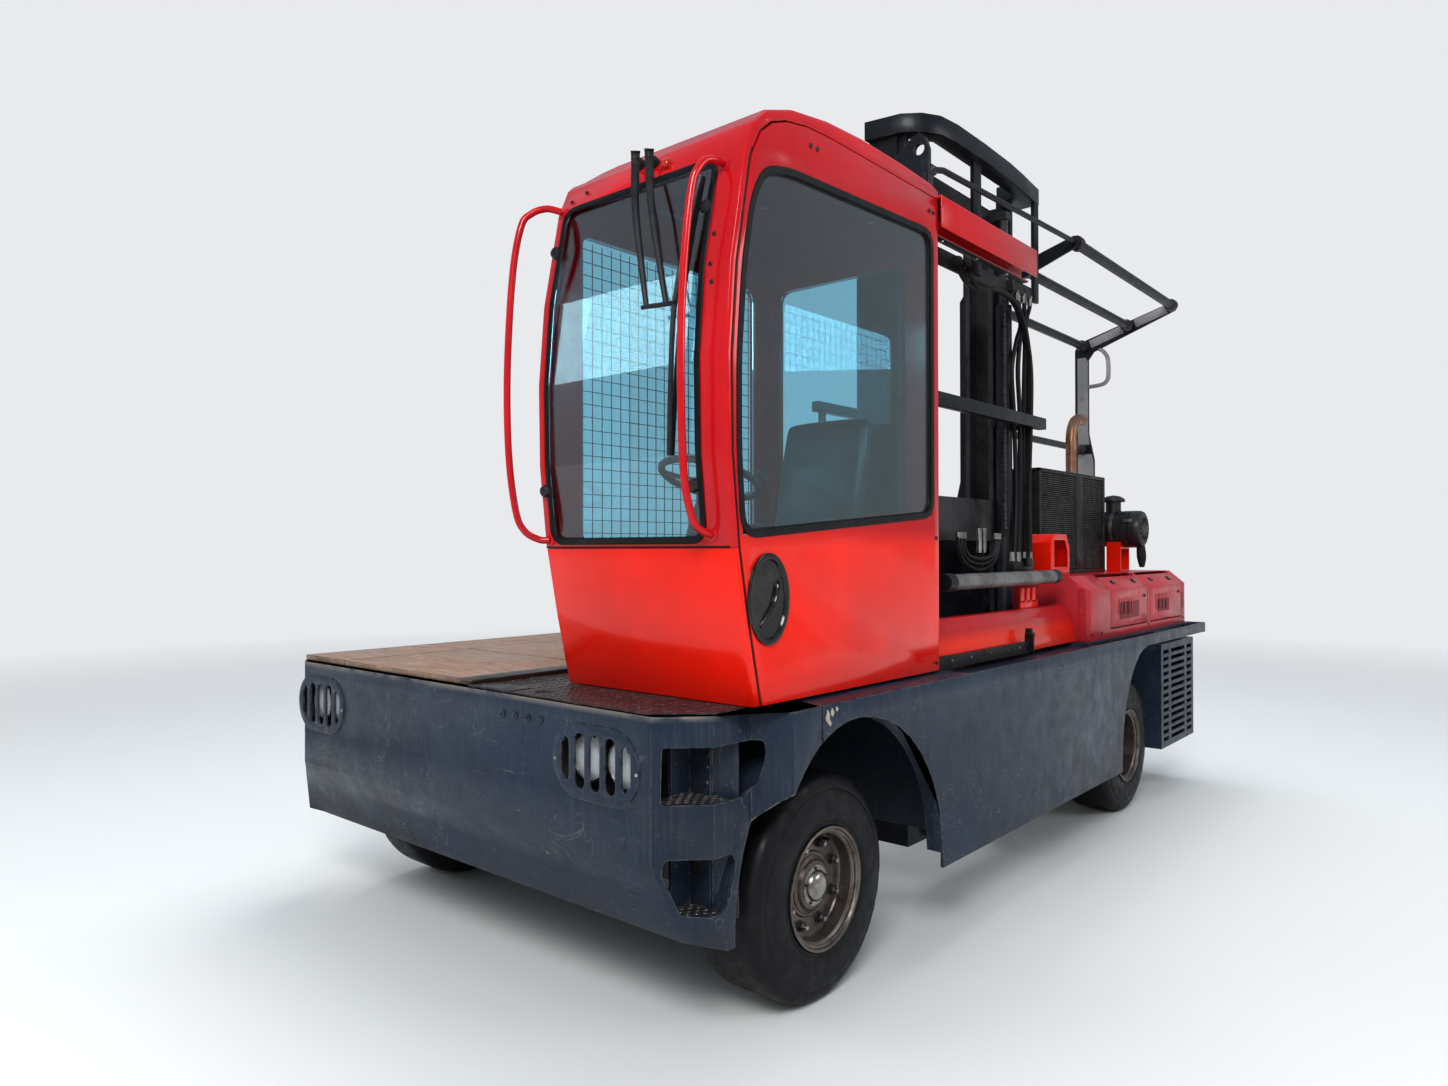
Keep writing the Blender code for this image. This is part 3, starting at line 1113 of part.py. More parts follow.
def door():
    """The sliding door: a flat panel whose front edge follows the cab's profile."""
    pivot = empty("slide_door", (DOOR_X, DOOR_REAR_Y, CAB_FLOOR_Z))
    inner = DOOR_X - 0.026
    low_z = CAB_FLOOR_Z + 0.004
    edge = door_edge(DOOR_BEHIND_FRONT, 0.0)
    outline = [(edge[0][0], CAB_FLOOR_Z - 0.1), *edge, (DOOR_REAR_Y, edge[-1][1]), (DOOR_REAR_Y, CAB_FLOOR_Z - 0.1)]
    panel = prism(outline, "X", inner, DOOR_X)
    panel = combine(panel, [box((inner - 0.1, -3.0, low_z), (DOOR_X + 0.1, -0.9, 3.3))], "INTERSECT")
    high = DOOR_WINDOW[1]
    glass_line = ([(-2.352, 1.640), (high[0], 1.735), (high[0], 2.90)]
                  + [(-2.10, 2.86), (-2.235, 2.83), (-2.300, 2.72), (-2.345, 2.50), (-2.372, 2.20), (-2.372, 1.90)])
    hole = prism(glass_line, "X", inner - 0.05, DOOR_X + 0.05)
    recess = prism(arc((-2.225, 1.435), 0.085, 0.125, 0, 345, 23), "X", DOOR_X - 0.016, DOOR_X + 0.05)
    hangers = [box((TRACK_X + 0.012, y, TRACK_Z + TRACK_WALL + RUNNING),
                   (inner + 0.01, y + 0.10, CAB_HEAD_Z - TRACK_WALL - RUNNING)) for y in (-1.98, -1.25)]
    place_object("door_panel", fuse(cut(panel, hole, recess), *hangers), "cab_red", pivot)
    centre = (sum(point[0] for point in glass_line) / len(glass_line), sum(point[1] for point in glass_line)
              / len(glass_line))
    shrunk = []
    for y, z in glass_line:
        away = Vector((centre[0] - y, centre[1] - z)).normalized() * 0.002
        shrunk.append((y + away.x, z + away.y))
    place_object("door_glass", prism(shrunk, "X", DOOR_X - 0.017, DOOR_X - 0.009), "glass", pivot)


# Mast
def channel(y_web, way, low_z, high_z, back_x, depth, width):
    """A C channel with its web at y_web, opening along way."""
    web, flange = CHANNEL_WEB, CHANNEL_FLANGE
    front = back_x - depth
    line = [(back_x, y_web), (back_x, y_web + way * width), (back_x - flange, y_web + way * width),
            (back_x - flange, y_web + way * web), (front + flange, y_web + way * web),
            (front + flange, y_web + way * width), (front, y_web + way * width), (front, y_web)]
    return prism(line, "Z", low_z, high_z)


def crown_line():
    """The crown's plan: a bow behind the mast, from its front channel round to its rear one."""
    outer = [(0.733, -0.885), (0.907, -0.856), (0.985, -0.800), (1.035, -0.715), (1.052, -0.580), (1.055, -0.30),
             (1.050, 0.00), (1.037, 0.20), (1.013, 0.456)]
    inner = [(0.848, 0.456), (0.848, 0.275), (0.966, 0.245), (0.966, -0.66), (0.90, -0.76), (0.848, -0.802),
             (0.733, -0.804)]
    return outer + inner


def mast_outer():
    """The outer mast: two channels, the crown and bows behind them, the foot and the lift cylinders' barrels."""
    pivot = empty("slide_mast", (MAST_BACK_X, MAST_Y, MAST_FOOT_Z))
    rear = MAST_Y + MAST_HALF
    front = MAST_Y - MAST_HALF
    shapes = [channel(rear, -1, MAST_FOOT_Z, MAST_TOP_Z, MAST_BACK_X, MAST_DEPTH, CHANNEL_WIDTH),
              channel(front, 1, MAST_FOOT_Z, MAST_TOP_Z, MAST_BACK_X, MAST_DEPTH, CHANNEL_WIDTH)]
    crown = prism(crown_line(), "Z", CROWN_TOP_Z - CROWN_T, CROWN_TOP_Z)
    shapes.append(crown)
    shapes.append(box((MAST_BACK_X - 0.002, front + 0.02, 2.25), (1.05, front + 0.06, 2.31)))
    shapes.append(box((MAST_BACK_X - 0.002, rear - 0.024, 2.25), (1.05, rear + 0.014, 2.31)))
    shapes.append(box((1.003, front - 0.02, 2.25), (1.05, 0.456, 2.31)))
    shapes.append(box((MAST_BACK_X - 0.002, front, MAST_FOOT_Z), (MAST_BACK_X + 0.05, rear, MAST_FOOT_Z + 0.14)))
    for y in (front + 0.04, rear - 0.04):
        shapes.append(box((MAST_BACK_X - 0.002, y - 0.02, 1.415), (1.10, y + 0.02, 1.475)))
        shapes.append(box((MAST_BACK_X - 0.002, y - 0.02, MAST_TOP_Z - 0.40), (0.90, y + 0.02, MAST_TOP_Z - 0.002)))
    shapes.append(rod((1.105, front - 0.0, 1.445), (1.105, 0.456, 1.445), 0.034, 14))
    shapes.append(box((0.99, 0.40, 2.95), (1.01, 0.456, CROWN_TOP_Z - CROWN_T + 0.002)))
    shapes.append(box((0.99, -0.33, 2.95), (1.01, -0.25, CROWN_TOP_Z - CROWN_T + 0.002)))
    for way in (-1, 1):
        y = MAST_Y + way * 0.415
        shapes.append(rod((LIFT_X, y, MAST_FOOT_Z + 0.13), (LIFT_X, y, 2.90), 0.042, 12, inner=0.032))
        shapes.append(box((0.868, y - 0.045, 2.25), (0.89, y + 0.045, 2.31)))
        shapes.append(box((0.868, y - 0.05, MAST_FOOT_Z + 0.02), (0.96, y + 0.05, MAST_FOOT_Z + 0.135)))
    low = MAST_RAIL_Z + 0.016 + RUNNING
    high = MAST_RAIL_Z + MAST_RAIL_H - 0.016 - RUN
    for y0, y1 in ((rear - 0.001, WELL_REAR_Y - 0.025), (WELL_FRONT_Y + 0.025, front + 0.001)):
        shapes.append(box((0.60, y0, low), (0.84, y1, high)))
    place_object("mast_outer", fuse(*shapes), "mast_black", pivot)
    hoses(pivot)
    return pivot


def hoses(pivot):
    """The bundle of hoses behind the rear channel, clamped at the top and at the foot."""
    shapes = [box((HOSE_X - 0.015, 0.14, 2.96), (HOSE_X + 0.015, 0.40 - GAP, 3.02)),
              box((HOSE_X - 0.015, 0.14, 1.475 + GAP), (HOSE_X + 0.015, 0.40 - GAP, 1.53))]
    middle = 0.265
    for y in (0.165, 0.205, 0.245, 0.285, 0.325, 0.365):
        drawn = middle + (y - middle) * 0.75
        route = [(HOSE_X, y, 2.99), (HOSE_X, y, 2.80), (HOSE_X, drawn, 2.45), (HOSE_X, drawn, 2.05),
                 (HOSE_X, y, 1.70), (HOSE_X, y, 1.50)]
        shapes.append(pipe(route, 0.013, 6))
    place_object("mast_hoses", fuse(*shapes), "rubber", pivot)


def mast_inner(parent):
    """The inner mast: two channels nested in the outer ones, its ties and the lift rods."""
    pivot = empty("slide_inner", (MAST_BACK_X, MAST_Y, MAST_FOOT_Z + 0.1), parent)
    step = CHANNEL_WEB + 0.012
    back = MAST_BACK_X - CHANNEL_FLANGE - RUN
    depth = MAST_DEPTH - 2 * CHANNEL_FLANGE - 2 * RUN
    rear = MAST_Y + MAST_HALF - step
    front = MAST_Y - MAST_HALF + step
    low, high = MAST_FOOT_Z + 0.02, MAST_TOP_Z - 0.06
    shapes = [channel(rear, -1, low, high, back, depth, CHANNEL_WIDTH),
              channel(front, 1, low, high, back, depth, CHANNEL_WIDTH)]
    shapes.append(box((back - 0.03, front + 0.02, high - 0.16), (back, rear - 0.02, high)))
    shapes.append(box((back - 0.02, front + 0.02, 1.64), (back, rear - 0.02, 1.86)))
    for way in (-1, 1):
        y = MAST_Y + way * 0.415
        shapes.append(rod((LIFT_X, y, MAST_FOOT_Z + 0.30), (LIFT_X, y, high - 0.05), 0.024, 12))
        shapes.append(box((back - 0.01, y - 0.03, high - 0.08), (LIFT_X + 0.03, y + 0.03, high - 0.04)))
    pad_depth = RUN - RUNNING
    for way in (-1, 1):
        low_y, high_y = sorted((MAST_Y + way * 0.505, MAST_Y + way * 0.560))
        for z in (low + 0.06, MAST_TOP_Z - 1.75):
            shapes.append(box((back - 0.01, low_y, z), (back + pad_depth, high_y, z + 0.12)))
            shapes.append(box((back - depth - pad_depth, low_y, z), (back - depth + 0.01, high_y, z + 0.12)))
    place_object("mast_inner", fuse(*shapes), "worn_steel", pivot)
    return pivot


def fork_carriage(parent):
    """The fork carriage: roller plates, cross bars, load backrest and both forks."""
    pivot = empty("slide_forks", (FORK_FACE_X, MAST_Y, FORK_TOP_Z), parent)
    shapes = []
    for way in (-1, 1):
        web = MAST_Y + way * (MAST_HALF - CHANNEL_WEB * 2 - 0.012 - RUN)
        plate_y = MAST_Y + way * 0.44
        shapes.append(box((FORK_FACE_X + 0.06, plate_y - 0.012, 1.20), (0.80, plate_y + 0.012, 1.78)))
        for z in (1.30, 1.68):
            low_y, high_y = sorted((plate_y, web))
            shapes.append(rod((0.76, low_y, z), (0.76, high_y, z), ROLLER_R, 16))
    for low, high in ((1.22, 1.32), (1.66, 1.76)):
        shapes.append(box((FORK_FACE_X + 0.052, MAST_Y - 0.56, low), (FORK_FACE_X + 0.10, MAST_Y + 0.56, high)))
    for way in (-1, 1):
        y = MAST_Y + way * FORK_SPREAD / 2
        x = FORK_FACE_X
        blade = [(x + 0.055, FORK_TOP_Z - FORK_T), (x + 0.055, 1.80), (x + 0.01, 1.80), (x, FORK_TOP_Z + 0.03),
                 (x - 0.03, FORK_TOP_Z), (x - FORK_LENGTH, FORK_TOP_Z), (x - FORK_LENGTH, FORK_TOP_Z - 0.014),
                 (x - FORK_LENGTH * 0.6, FORK_TOP_Z - FORK_T)]
        shapes.append(prism(blade, "Y", y - FORK_WIDTH / 2, y + FORK_WIDTH / 2))
    for y in [MAST_Y + offset for offset in (-0.50, -0.17, 0.17, 0.50)]:
        shapes.append(box((FORK_FACE_X + 0.06, y - 0.012, 1.74), (FORK_FACE_X + 0.09, y + 0.012, 2.30)))
    shapes.append(box((FORK_FACE_X + 0.055, MAST_Y - 0.56, 2.28), (FORK_FACE_X + 0.095, MAST_Y + 0.56, 2.33)))
    place_object("fork_carriage", fuse(*shapes), "mast_black", pivot)


def build():
    clear_objects()
    chassis_frame()
    front_panel()
    side_plate_right()
    side_plate_left_rear()
    decks()
    rear_panel()
    grille_block()
    head_lamps()
    front_axle()
    rear_axle()
    engine_cover()
    for name, start, end in HATCHES:
        hatch(name, start, end)
    lower_cover()
    engine_block()
    cooler_guard()
    exhaust_pipe()
    air_cleaner()
    air_cleaner_bracket()
    load_guard()
    lug_post()
    hose_guard()
    cab_front_panel()
    cab_frame()
    cab_roof()
    cab_rear_wall()
    cab_inner_wall()
    cab_floor()
    cab_windscreen()
    cab_seat()
    cab_console()
    door_rails()
    grab_rails()
    beacon()
    door()
    for side, way in (("left", -1), ("right", 1)):
        steer = knuckle(side, way)
        wheel("front_" + side, FRONT_AXLE_Y, way, True, steer)
        wheel("rear_" + side, REAR_AXLE_Y, way, False, None)
    mast = mast_outer()
    inner = mast_inner(mast)
    fork_carriage(inner)


build()
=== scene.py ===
# Looks of the side loader forklift: materials, fine pieces, floor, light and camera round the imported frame.

import json
import random
from math import cos, pi, radians, sin

import bmesh
import bpy
from mathutils import Matrix, Vector

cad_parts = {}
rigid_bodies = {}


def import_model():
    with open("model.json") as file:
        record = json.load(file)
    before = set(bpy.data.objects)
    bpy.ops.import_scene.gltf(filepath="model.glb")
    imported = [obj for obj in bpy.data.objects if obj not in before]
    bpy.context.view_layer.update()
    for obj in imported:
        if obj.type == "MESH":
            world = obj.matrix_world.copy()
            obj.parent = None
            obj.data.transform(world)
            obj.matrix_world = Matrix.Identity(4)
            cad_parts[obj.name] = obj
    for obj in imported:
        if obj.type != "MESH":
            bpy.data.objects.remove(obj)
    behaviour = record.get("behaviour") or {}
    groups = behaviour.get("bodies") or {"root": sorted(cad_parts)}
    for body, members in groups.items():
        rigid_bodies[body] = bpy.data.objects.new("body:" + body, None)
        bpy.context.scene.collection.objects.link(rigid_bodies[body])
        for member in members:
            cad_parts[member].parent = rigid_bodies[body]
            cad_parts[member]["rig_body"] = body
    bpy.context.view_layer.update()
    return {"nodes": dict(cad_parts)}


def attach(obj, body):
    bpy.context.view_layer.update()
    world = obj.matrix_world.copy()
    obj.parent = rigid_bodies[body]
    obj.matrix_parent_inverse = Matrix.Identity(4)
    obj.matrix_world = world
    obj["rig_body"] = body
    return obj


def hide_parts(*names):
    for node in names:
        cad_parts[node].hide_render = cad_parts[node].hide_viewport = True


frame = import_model()
NODES = frame["nodes"]
SCENE = bpy.context.scene
X, Y, Z = (1, 0, 0), (0, 1, 0), (0, 0, 1)
AHEAD = (0, -1, 0)

# Camera, fitted to the photograph's edges
CAMERA_PLACE = (3.110, -4.651, 1.5955)
CAMERA_YAW = 0.7111
CAMERA_PITCH = 0.0066
CAMERA_ROLL = 0.0017
CAMERA_LENS = 23.605


def set_camera():
    camera = bpy.data.cameras.new("camera")
    camera.lens = CAMERA_LENS
    camera.sensor_width = 36.0
    camera.clip_end = 200.0
    item = bpy.data.objects.new("camera", camera)
    item.location = CAMERA_PLACE
    item.rotation_euler = (pi / 2 + CAMERA_PITCH, CAMERA_ROLL, CAMERA_YAW)
    SCENE.collection.objects.link(item)
    SCENE.camera = item


# Shader building
class Shader:
    """A node tree with one Principled shader and short calls for the nodes that feed it."""

    def __init__(self, name, colour, rough=0.5, metal=0.0):
        self.material = bpy.data.materials.new(name)
        self.material.use_nodes = True
        self.tree = self.material.node_tree
        self.main = self.tree.nodes["Principled BSDF"]
        self.feed(self.main, {"Base Color": (*colour, 1.0), "Roughness": rough, "Metallic": metal})
        self.place = self.node("ShaderNodeTexCoord", {}, "Object")
        self.height = None

    def feed(self, node, values):
        """Sets or links a node's inputs, by name or number."""
        for key, value in values.items():
            if isinstance(value, bpy.types.NodeSocket):
                self.tree.links.new(value, node.inputs[key])
            else:
                node.inputs[key].default_value = value

    def set(self, socket, value):
        self.feed(self.main, {socket: value})

    def node(self, kind, values, output, **settings):
        """A new node with its inputs fed; gives one of its outputs."""
        made = self.tree.nodes.new(kind)
        for key, value in settings.items():
            setattr(made, key, value)
        self.feed(made, values)
        return made.outputs[output]

    def stretched(self, scale, turn=(0, 0, 0)):
        """Object coordinates turned, then stretched."""
        values = {"Vector": self.place, "Scale": scale, "Rotation": turn}
        return self.node("ShaderNodeMapping", values, "Vector")

    def noise(self, scale, detail=4.0, rough=0.55, where=None, twist=0.0):
        values = {"Scale": scale, "Detail": detail, "Roughness": rough, "Distortion": twist}
        return self.node("ShaderNodeTexNoise", {**values, "Vector": where or self.place}, "Fac")

    def span(self, value, low, high, to_low=0.0, to_high=1.0):
        """Maps a value from one range to another, clamped."""
        values = {"Value": value, "From Min": low, "From Max": high, "To Min": to_low, "To Max": to_high}
        return self.node("ShaderNodeMapRange", values, "Result")

    def patches(self, low, high, *noise, **more):
        """0 to 1 where a noise rises from one value to another."""
        return self.span(self.noise(*noise, **more), low, high)

    def uneven(self, low, high, *noise):
        """A noise between two values."""
        return self.span(self.noise(*noise), 0.3, 0.7, low, high)

    def maths(self, operation, one, two=0.0):
        return self.node("ShaderNodeMath", {0: one, 1: two}, "Value", operation=operation)

    def times(self, product, *factors):
        for factor in factors:
            product = self.maths("MULTIPLY", product, factor)
        return product

    def mix(self, share, one, two):
        """Mixes two colours, each a triple or a socket, by a share from 0 to 1."""
        one, two = ((*value, 1.0) if isinstance(value, tuple) else value for value in (one, two))
        return self.node("ShaderNodeMix", {0: share, 6: one, 7: two}, 2, data_type="RGBA")

    def axis(self, name):
        """One object coordinate, in metres."""
        return self.node("ShaderNodeSeparateXYZ", {"Vector": self.place}, name)

    def low_down(self, *limits):
        return self.span(self.axis("Z"), *limits)

    def worn_edges(self, width=0.004):
        """1 on sharp edges, 0 on flat faces."""
        soft = self.node("ShaderNodeBevel", {"Radius": width}, "Normal", samples=4)
        hard = self.node("ShaderNodeNewGeometry", {}, "Normal")
        dot = self.node("ShaderNodeVectorMath", {0: soft, 1: hard}, "Value", operation="DOT_PRODUCT")
        return self.span(dot, 0.995, 0.80)

    def gloss(self, specular, coat, coat_rough):
        self.set("Specular IOR Level", specular)
        self.set("Coat Weight", coat)
        self.set("Coat Roughness", coat_rough)

    def bump(self, value, depth):
        """Adds a layer of height, in metres at value 1."""
        below = {"Normal": self.height} if self.height else {}
        self.height = self.node("ShaderNodeBump", {"Distance": depth, "Height": value, **below}, "Normal")
        self.set("Normal", self.height)


def toned(colour, factor, lift=0.0):
    """A darker or lighter shade of a colour."""
    return tuple(min(1.0, c * factor + lift) for c in colour)


def paint(name, colour, chip, rough, coat, dirt, scratch, low_dirt=True, upper=None, level=1.60):
    """Worn machine paint: mottled colour, dust low down, swirled scuffs, long scratches and chipped edges."""
    s = Shader(name, colour, rough)
    s.gloss(0.35, coat, 0.07)
    mottle = s.patches(0.3, 0.7, 1.6, 5.0, 0.6)
    base = s.mix(mottle, toned(colour, 0.82), toned(colour, 1.12, 0.001))
    if upper:
        base = s.mix(s.low_down(level, level * 1.05), base, s.mix(mottle, toned(upper, 0.84), upper))
    haze = s.times(s.patches(0.53, 0.70, 6.0, 7.0, 0.68, twist=1.8), scratch)
    base = s.mix(haze, base, toned(colour, 0.80, 0.020))
    # Long thin scratches, mostly level
    level_ones = s.patches(0.655, 0.675, 3.0, 8.0, 0.70, s.stretched((2.2, 2.2, 60.0), (0.05, 0.03, 0.0)))
    slanted = s.patches(0.68, 0.70, 4.0, 6.0, 0.65, s.stretched((3.0, 3.0, 90.0), (0.6, 0.25, 0.3)))
    thin = s.times(s.maths("MAXIMUM", level_ones, slanted), s.patches(0.45, 0.60, 1.1, 2.0), scratch)
    base = s.mix(thin, base, toned(colour, 0.65, 0.070))
    dust = s.patches(0.40, 0.75, 2.6, 6.0, 0.7)
    if low_dirt:
        dust = s.times(dust, s.low_down(1.15, 0.30, 0.35, 1.0))
    dust = s.times(dust, dirt)
    base = s.mix(dust, base, (0.085, 0.066, 0.052))
    edge = s.times(s.worn_edges(0.005), s.patches(0.50, 0.58, 34.0, 5.0, 0.7))
    spots = s.times(s.patches(0.735, 0.75, 26.0, 4.0, 0.6), s.patches(0.5, 0.6, 2.2, 2.0))
    chipped = s.maths("MAXIMUM", edge, spots)
    s.set("Base Color", s.mix(chipped, base, chip))
    matt = s.maths("ADD", s.uneven(rough - 0.06, rough + 0.10, 9.0, 5.0, 0.6), s.times(dust, 0.5))
    s.set("Roughness", s.maths("ADD", matt, s.times(chipped, 0.3)))
    s.bump(s.noise(5.0, 2.0), 0.0006)
    s.bump(s.maths("SUBTRACT", 1.0, chipped), 0.0003)
    return s.material


def chassis_paint():
    """Slate-blue plate: cloudy brush marks, curved scuffs, a worn top edge and stone chips low down."""
    s = Shader("chassis", (0.010, 0.019, 0.036), 0.30)
    s.gloss(0.25, 0.08, 0.14)
    cloud = s.patches(0.36, 0.66, 1.3, 6.0, 0.62, twist=0.6)
    base = s.mix(cloud, (0.0100, 0.0210, 0.0420), (0.0220, 0.0400, 0.0720))
    # Brush marks that run down, and wide swirled scuffs
    brush = s.patches(0.50, 0.74, 7.0, 6.0, 0.66, s.stretched((9.0, 9.0, 0.7), (0.05, 0.04, 0.0)))
    base = s.mix(s.times(brush, 0.55), base, (0.048, 0.066, 0.098))
    swirl = s.noise(2.2, 3.0, 0.5, twist=5.0)
    arcs = s.span(s.maths("ABSOLUTE", s.maths("SUBTRACT", swirl, 0.52)), 0.010, 0.0015)
    base = s.mix(s.times(arcs, s.patches(0.46, 0.60, 3.4, 3.0), 0.80), base, (0.105, 0.115, 0.140))
    haze = s.patches(0.56, 0.70, 8.0, 8.0, 0.74, twist=2.2)
    base = s.mix(s.times(haze, 0.40), base, (0.052, 0.064, 0.088))
    # Long scratches: level ones and slanted ones along the side
    level = s.patches(0.635, 0.655, 3.0, 8.0, 0.70, s.stretched((1.6, 1.6, 70.0), (0.04, 0.03, 0.0)))
    slant = s.patches(0.655, 0.675, 4.0, 6.0, 0.65, s.stretched((2.4, 2.4, 95.0), (0.18, 0.05, 0.1)))
    thin = s.times(s.maths("MAXIMUM", level, slant), s.patches(0.44, 0.56, 1.1, 2.0), 0.8)
    base = s.mix(thin, base, (0.135, 0.130, 0.135))
    # Warm road dirt low down and along the side
    dust = s.times(s.patches(0.36, 0.72, 2.4, 7.0, 0.72), s.low_down(1.05, 0.35, 0.16, 0.62))
    base = s.mix(dust, base, (0.062, 0.050, 0.042))
    rub = s.times(s.low_down(1.060, 1.078), s.patches(0.34, 0.52, 5.0, 5.0, 0.7),
                  s.span(s.axis("Y"), -2.40, -2.50))
    edge = s.times(s.worn_edges(0.006), s.patches(0.44, 0.53, 30.0, 5.0, 0.7))
    spots = s.times(s.patches(0.70, 0.72, 30.0, 4.0, 0.6), s.low_down(0.80, 0.45, 0.25, 1.0))
    chipped = s.maths("MAXIMUM", s.maths("MAXIMUM", edge, spots), rub)
    s.set("Base Color", s.mix(s.times(chipped, 0.85), base, (0.20, 0.175, 0.155)))
    s.set("Roughness", s.maths("ADD", s.uneven(0.24, 0.46, 9.0, 6.0, 0.65), s.times(dust, 0.4)))
    s.bump(s.noise(4.0, 2.0), 0.0010)
    s.bump(s.maths("SUBTRACT", 1.0, chipped), 0.0003)
    return s.material


def steel(name, colour, rough=0.38, rust=0.3, metal=0.85):
    """Bare or thinly painted steel with grease and rust bloom."""
    s = Shader(name, colour, rough, metal)
    base = s.mix(s.patches(0.42, 0.70, 6.0, 7.0, 0.68, twist=0.6), colour, toned(colour, 0.35))
    bloom = s.times(s.patches(0.55, 0.68, 14.0, 6.0, 0.75), rust)
    base = s.mix(bloom, base, (0.16, 0.065, 0.028))
    bright = s.times(s.worn_edges(0.003), s.patches(0.42, 0.55, 22.0, 4.0))
    s.set("Base Color", s.mix(bright, base, toned(colour, 1.9, 0.05)))
    s.set("Roughness", s.maths("ADD", s.uneven(rough - 0.10, rough + 0.14, 18.0, 5.0), s.times(bloom, 0.4)))
    s.set("Metallic", s.times(s.maths("SUBTRACT", 1.0, bloom), metal))
    s.bump(s.noise(120.0, 3.0), 0.00015)
    return s.material


def mast_paint(name, low, high, dust):
    """Satin slate paint, cloudy with grease, paler with dust where it faces up."""
    s = Shader(name, low, 0.34, 0.05)
    s.gloss(0.25, 0.08, 0.16)
    base = s.mix(s.patches(0.36, 0.66, 2.6, 6.0, 0.60, twist=0.4), low, high)
    rub = s.times(s.patches(0.58, 0.70, 9.0, 7.0, 0.72, twist=1.2), 0.40)
    base = s.mix(rub, base, (0.050, 0.049, 0.052))
    normal = s.node("ShaderNodeNewGeometry", {}, "Normal")
    upward = s.span(s.node("ShaderNodeSeparateXYZ", {"Vector": normal}, "Z"), 0.30, 0.95)
    base = s.mix(s.times(upward, s.patches(0.20, 0.55, 1.8, 3.0, 0.5), dust), base, (0.175, 0.168, 0.162))
    edge = s.times(s.worn_edges(0.004), s.patches(0.46, 0.56, 28.0, 5.0))
    s.set("Base Color", s.mix(edge, base, (0.16, 0.14, 0.13)))
    s.set("Roughness", s.uneven(0.26, 0.48, 11.0, 6.0, 0.66))
    s.bump(s.noise(60.0, 4.0), 0.0003)
    return s.material


def rubber(name, colour, rough, scuff):
    """Black rubber with pale scuffs."""
    s = Shader(name, colour, rough)
    s.set("Specular IOR Level", 0.25)
    scuffs = s.times(s.patches(0.48, 0.72, 11.0, 7.0, 0.7), scuff)
    s.set("Base Color", s.mix(scuffs, colour, (0.050, 0.048, 0.048)))
    s.set("Roughness", s.uneven(rough - 0.12, rough + 0.14, 20.0, 5.0))
    s.bump(s.noise(90.0, 5.0), 0.0003)
    return s.material


def plywood():
    """Worn plywood deck: grain along the boards, grey traffic wear and dark damp edges."""
    s = Shader("deck_wood", (0.33, 0.22, 0.17), 0.72)
    grain = s.noise(6.0, 9.0, 0.62, s.stretched((1.0, 14.0, 3.0)), twist=0.7)
    base = s.mix(s.span(grain, 0.32, 0.70), (0.20, 0.12, 0.085), (0.46, 0.32, 0.245))
    fine = s.patches(0.50, 0.75, 30.0, 4.0, 0.6, s.stretched((1.0, 18.0, 6.0)))
    traffic = s.times(s.patches(0.42, 0.68, 2.4, 6.0, 0.7), 0.55)
    stain = s.times(s.patches(0.60, 0.72, 4.5, 5.0, 0.7, twist=1.0), 0.7)
    damp = s.times(s.worn_edges(0.010), 0.8)
    for share, colour in ((fine, (0.13, 0.075, 0.055)), (traffic, (0.27, 0.235, 0.215)),
                          (stain, (0.060, 0.045, 0.038)), (damp, (0.035, 0.026, 0.022))):
        base = s.mix(share, base, colour)
    s.set("Base Color", base)
    s.set("Roughness", s.uneven(0.60, 0.85, 15.0))
    s.bump(grain, 0.0012)
    return s.material


def glass():
    """Tinted safety glass, dusty in cloudy patches."""
    tint = (0.46, 0.74, 0.84)
    s = Shader("glass", tint, 0.0)
    s.set("Transmission Weight", 1.0)
    s.set("IOR", 1.70)
    film = s.times(s.patches(0.45, 0.85, 3.0, 6.0, 0.7), 0.20)
    s.set("Base Color", s.mix(film, tint, (0.42, 0.62, 0.68)))
    s.set("Roughness", s.span(s.noise(5.0, 6.0, 0.65), 0.60, 0.85, 0.0, 0.03))
    return s.material


def lens(name, colour):
    """Moulded lamp plastic or glass with fine flutes."""
    s = Shader(name, colour, 0.08)
    s.set("Coat Weight", 0.8)
    s.set("Transmission Weight", 0.35)
    s.set("Base Color", s.mix(s.patches(0.35, 0.7, 16.0, 4.0), colour, toned(colour, 0.75)))
    flutes = {"Scale": 38.0, "Distortion": 0.0, "Detail": 2.0, "Vector": s.place}
    s.bump(s.node("ShaderNodeTexWave", flutes, "Fac", bands_direction="X"), 0.0006)
    return s.material


def plastic(name, colour, rough, grain):
    """Moulded plastic or vinyl, finely pebbled and dusty in patches."""
    s = Shader(name, colour, rough)
    dust = s.times(s.patches(0.46, 0.75, 5.0, 6.0, 0.7), 0.45)
    s.set("Base Color", s.mix(dust, colour, (0.075, 0.068, 0.060)))
    s.set("Roughness", s.uneven(rough - 0.1, rough + 0.12, 12.0, 4.0))
    s.bump(s.node("ShaderNodeTexVoronoi", {"Scale": grain, "Vector": s.place}, "Distance"), 0.00025)
    return s.material


def exhaust_metal():
    """Heat-tinted tail pipe: straw and brown bands with soot."""
    s = Shader("exhaust", (0.30, 0.16, 0.10), 0.34, 0.9)
    base = s.mix(s.patches(0.35, 0.65, 7.0, 5.0, 0.6), (0.26, 0.125, 0.075), (0.40, 0.25, 0.175))
    tint = s.times(s.patches(0.42, 0.62, 4.0, 3.0, 0.5, s.stretched((0.4, 0.4, 3.0))), 0.6)
    base = s.mix(tint, base, (0.20, 0.085, 0.055))
    base = s.mix(s.patches(0.54, 0.68, 16.0, 6.0, 0.7), base, (0.085, 0.048, 0.034))
    s.set("Base Color", base)
    s.set("Roughness", s.uneven(0.28, 0.55, 22.0))
    s.bump(s.noise(70.0), 0.0002)
    return s.material


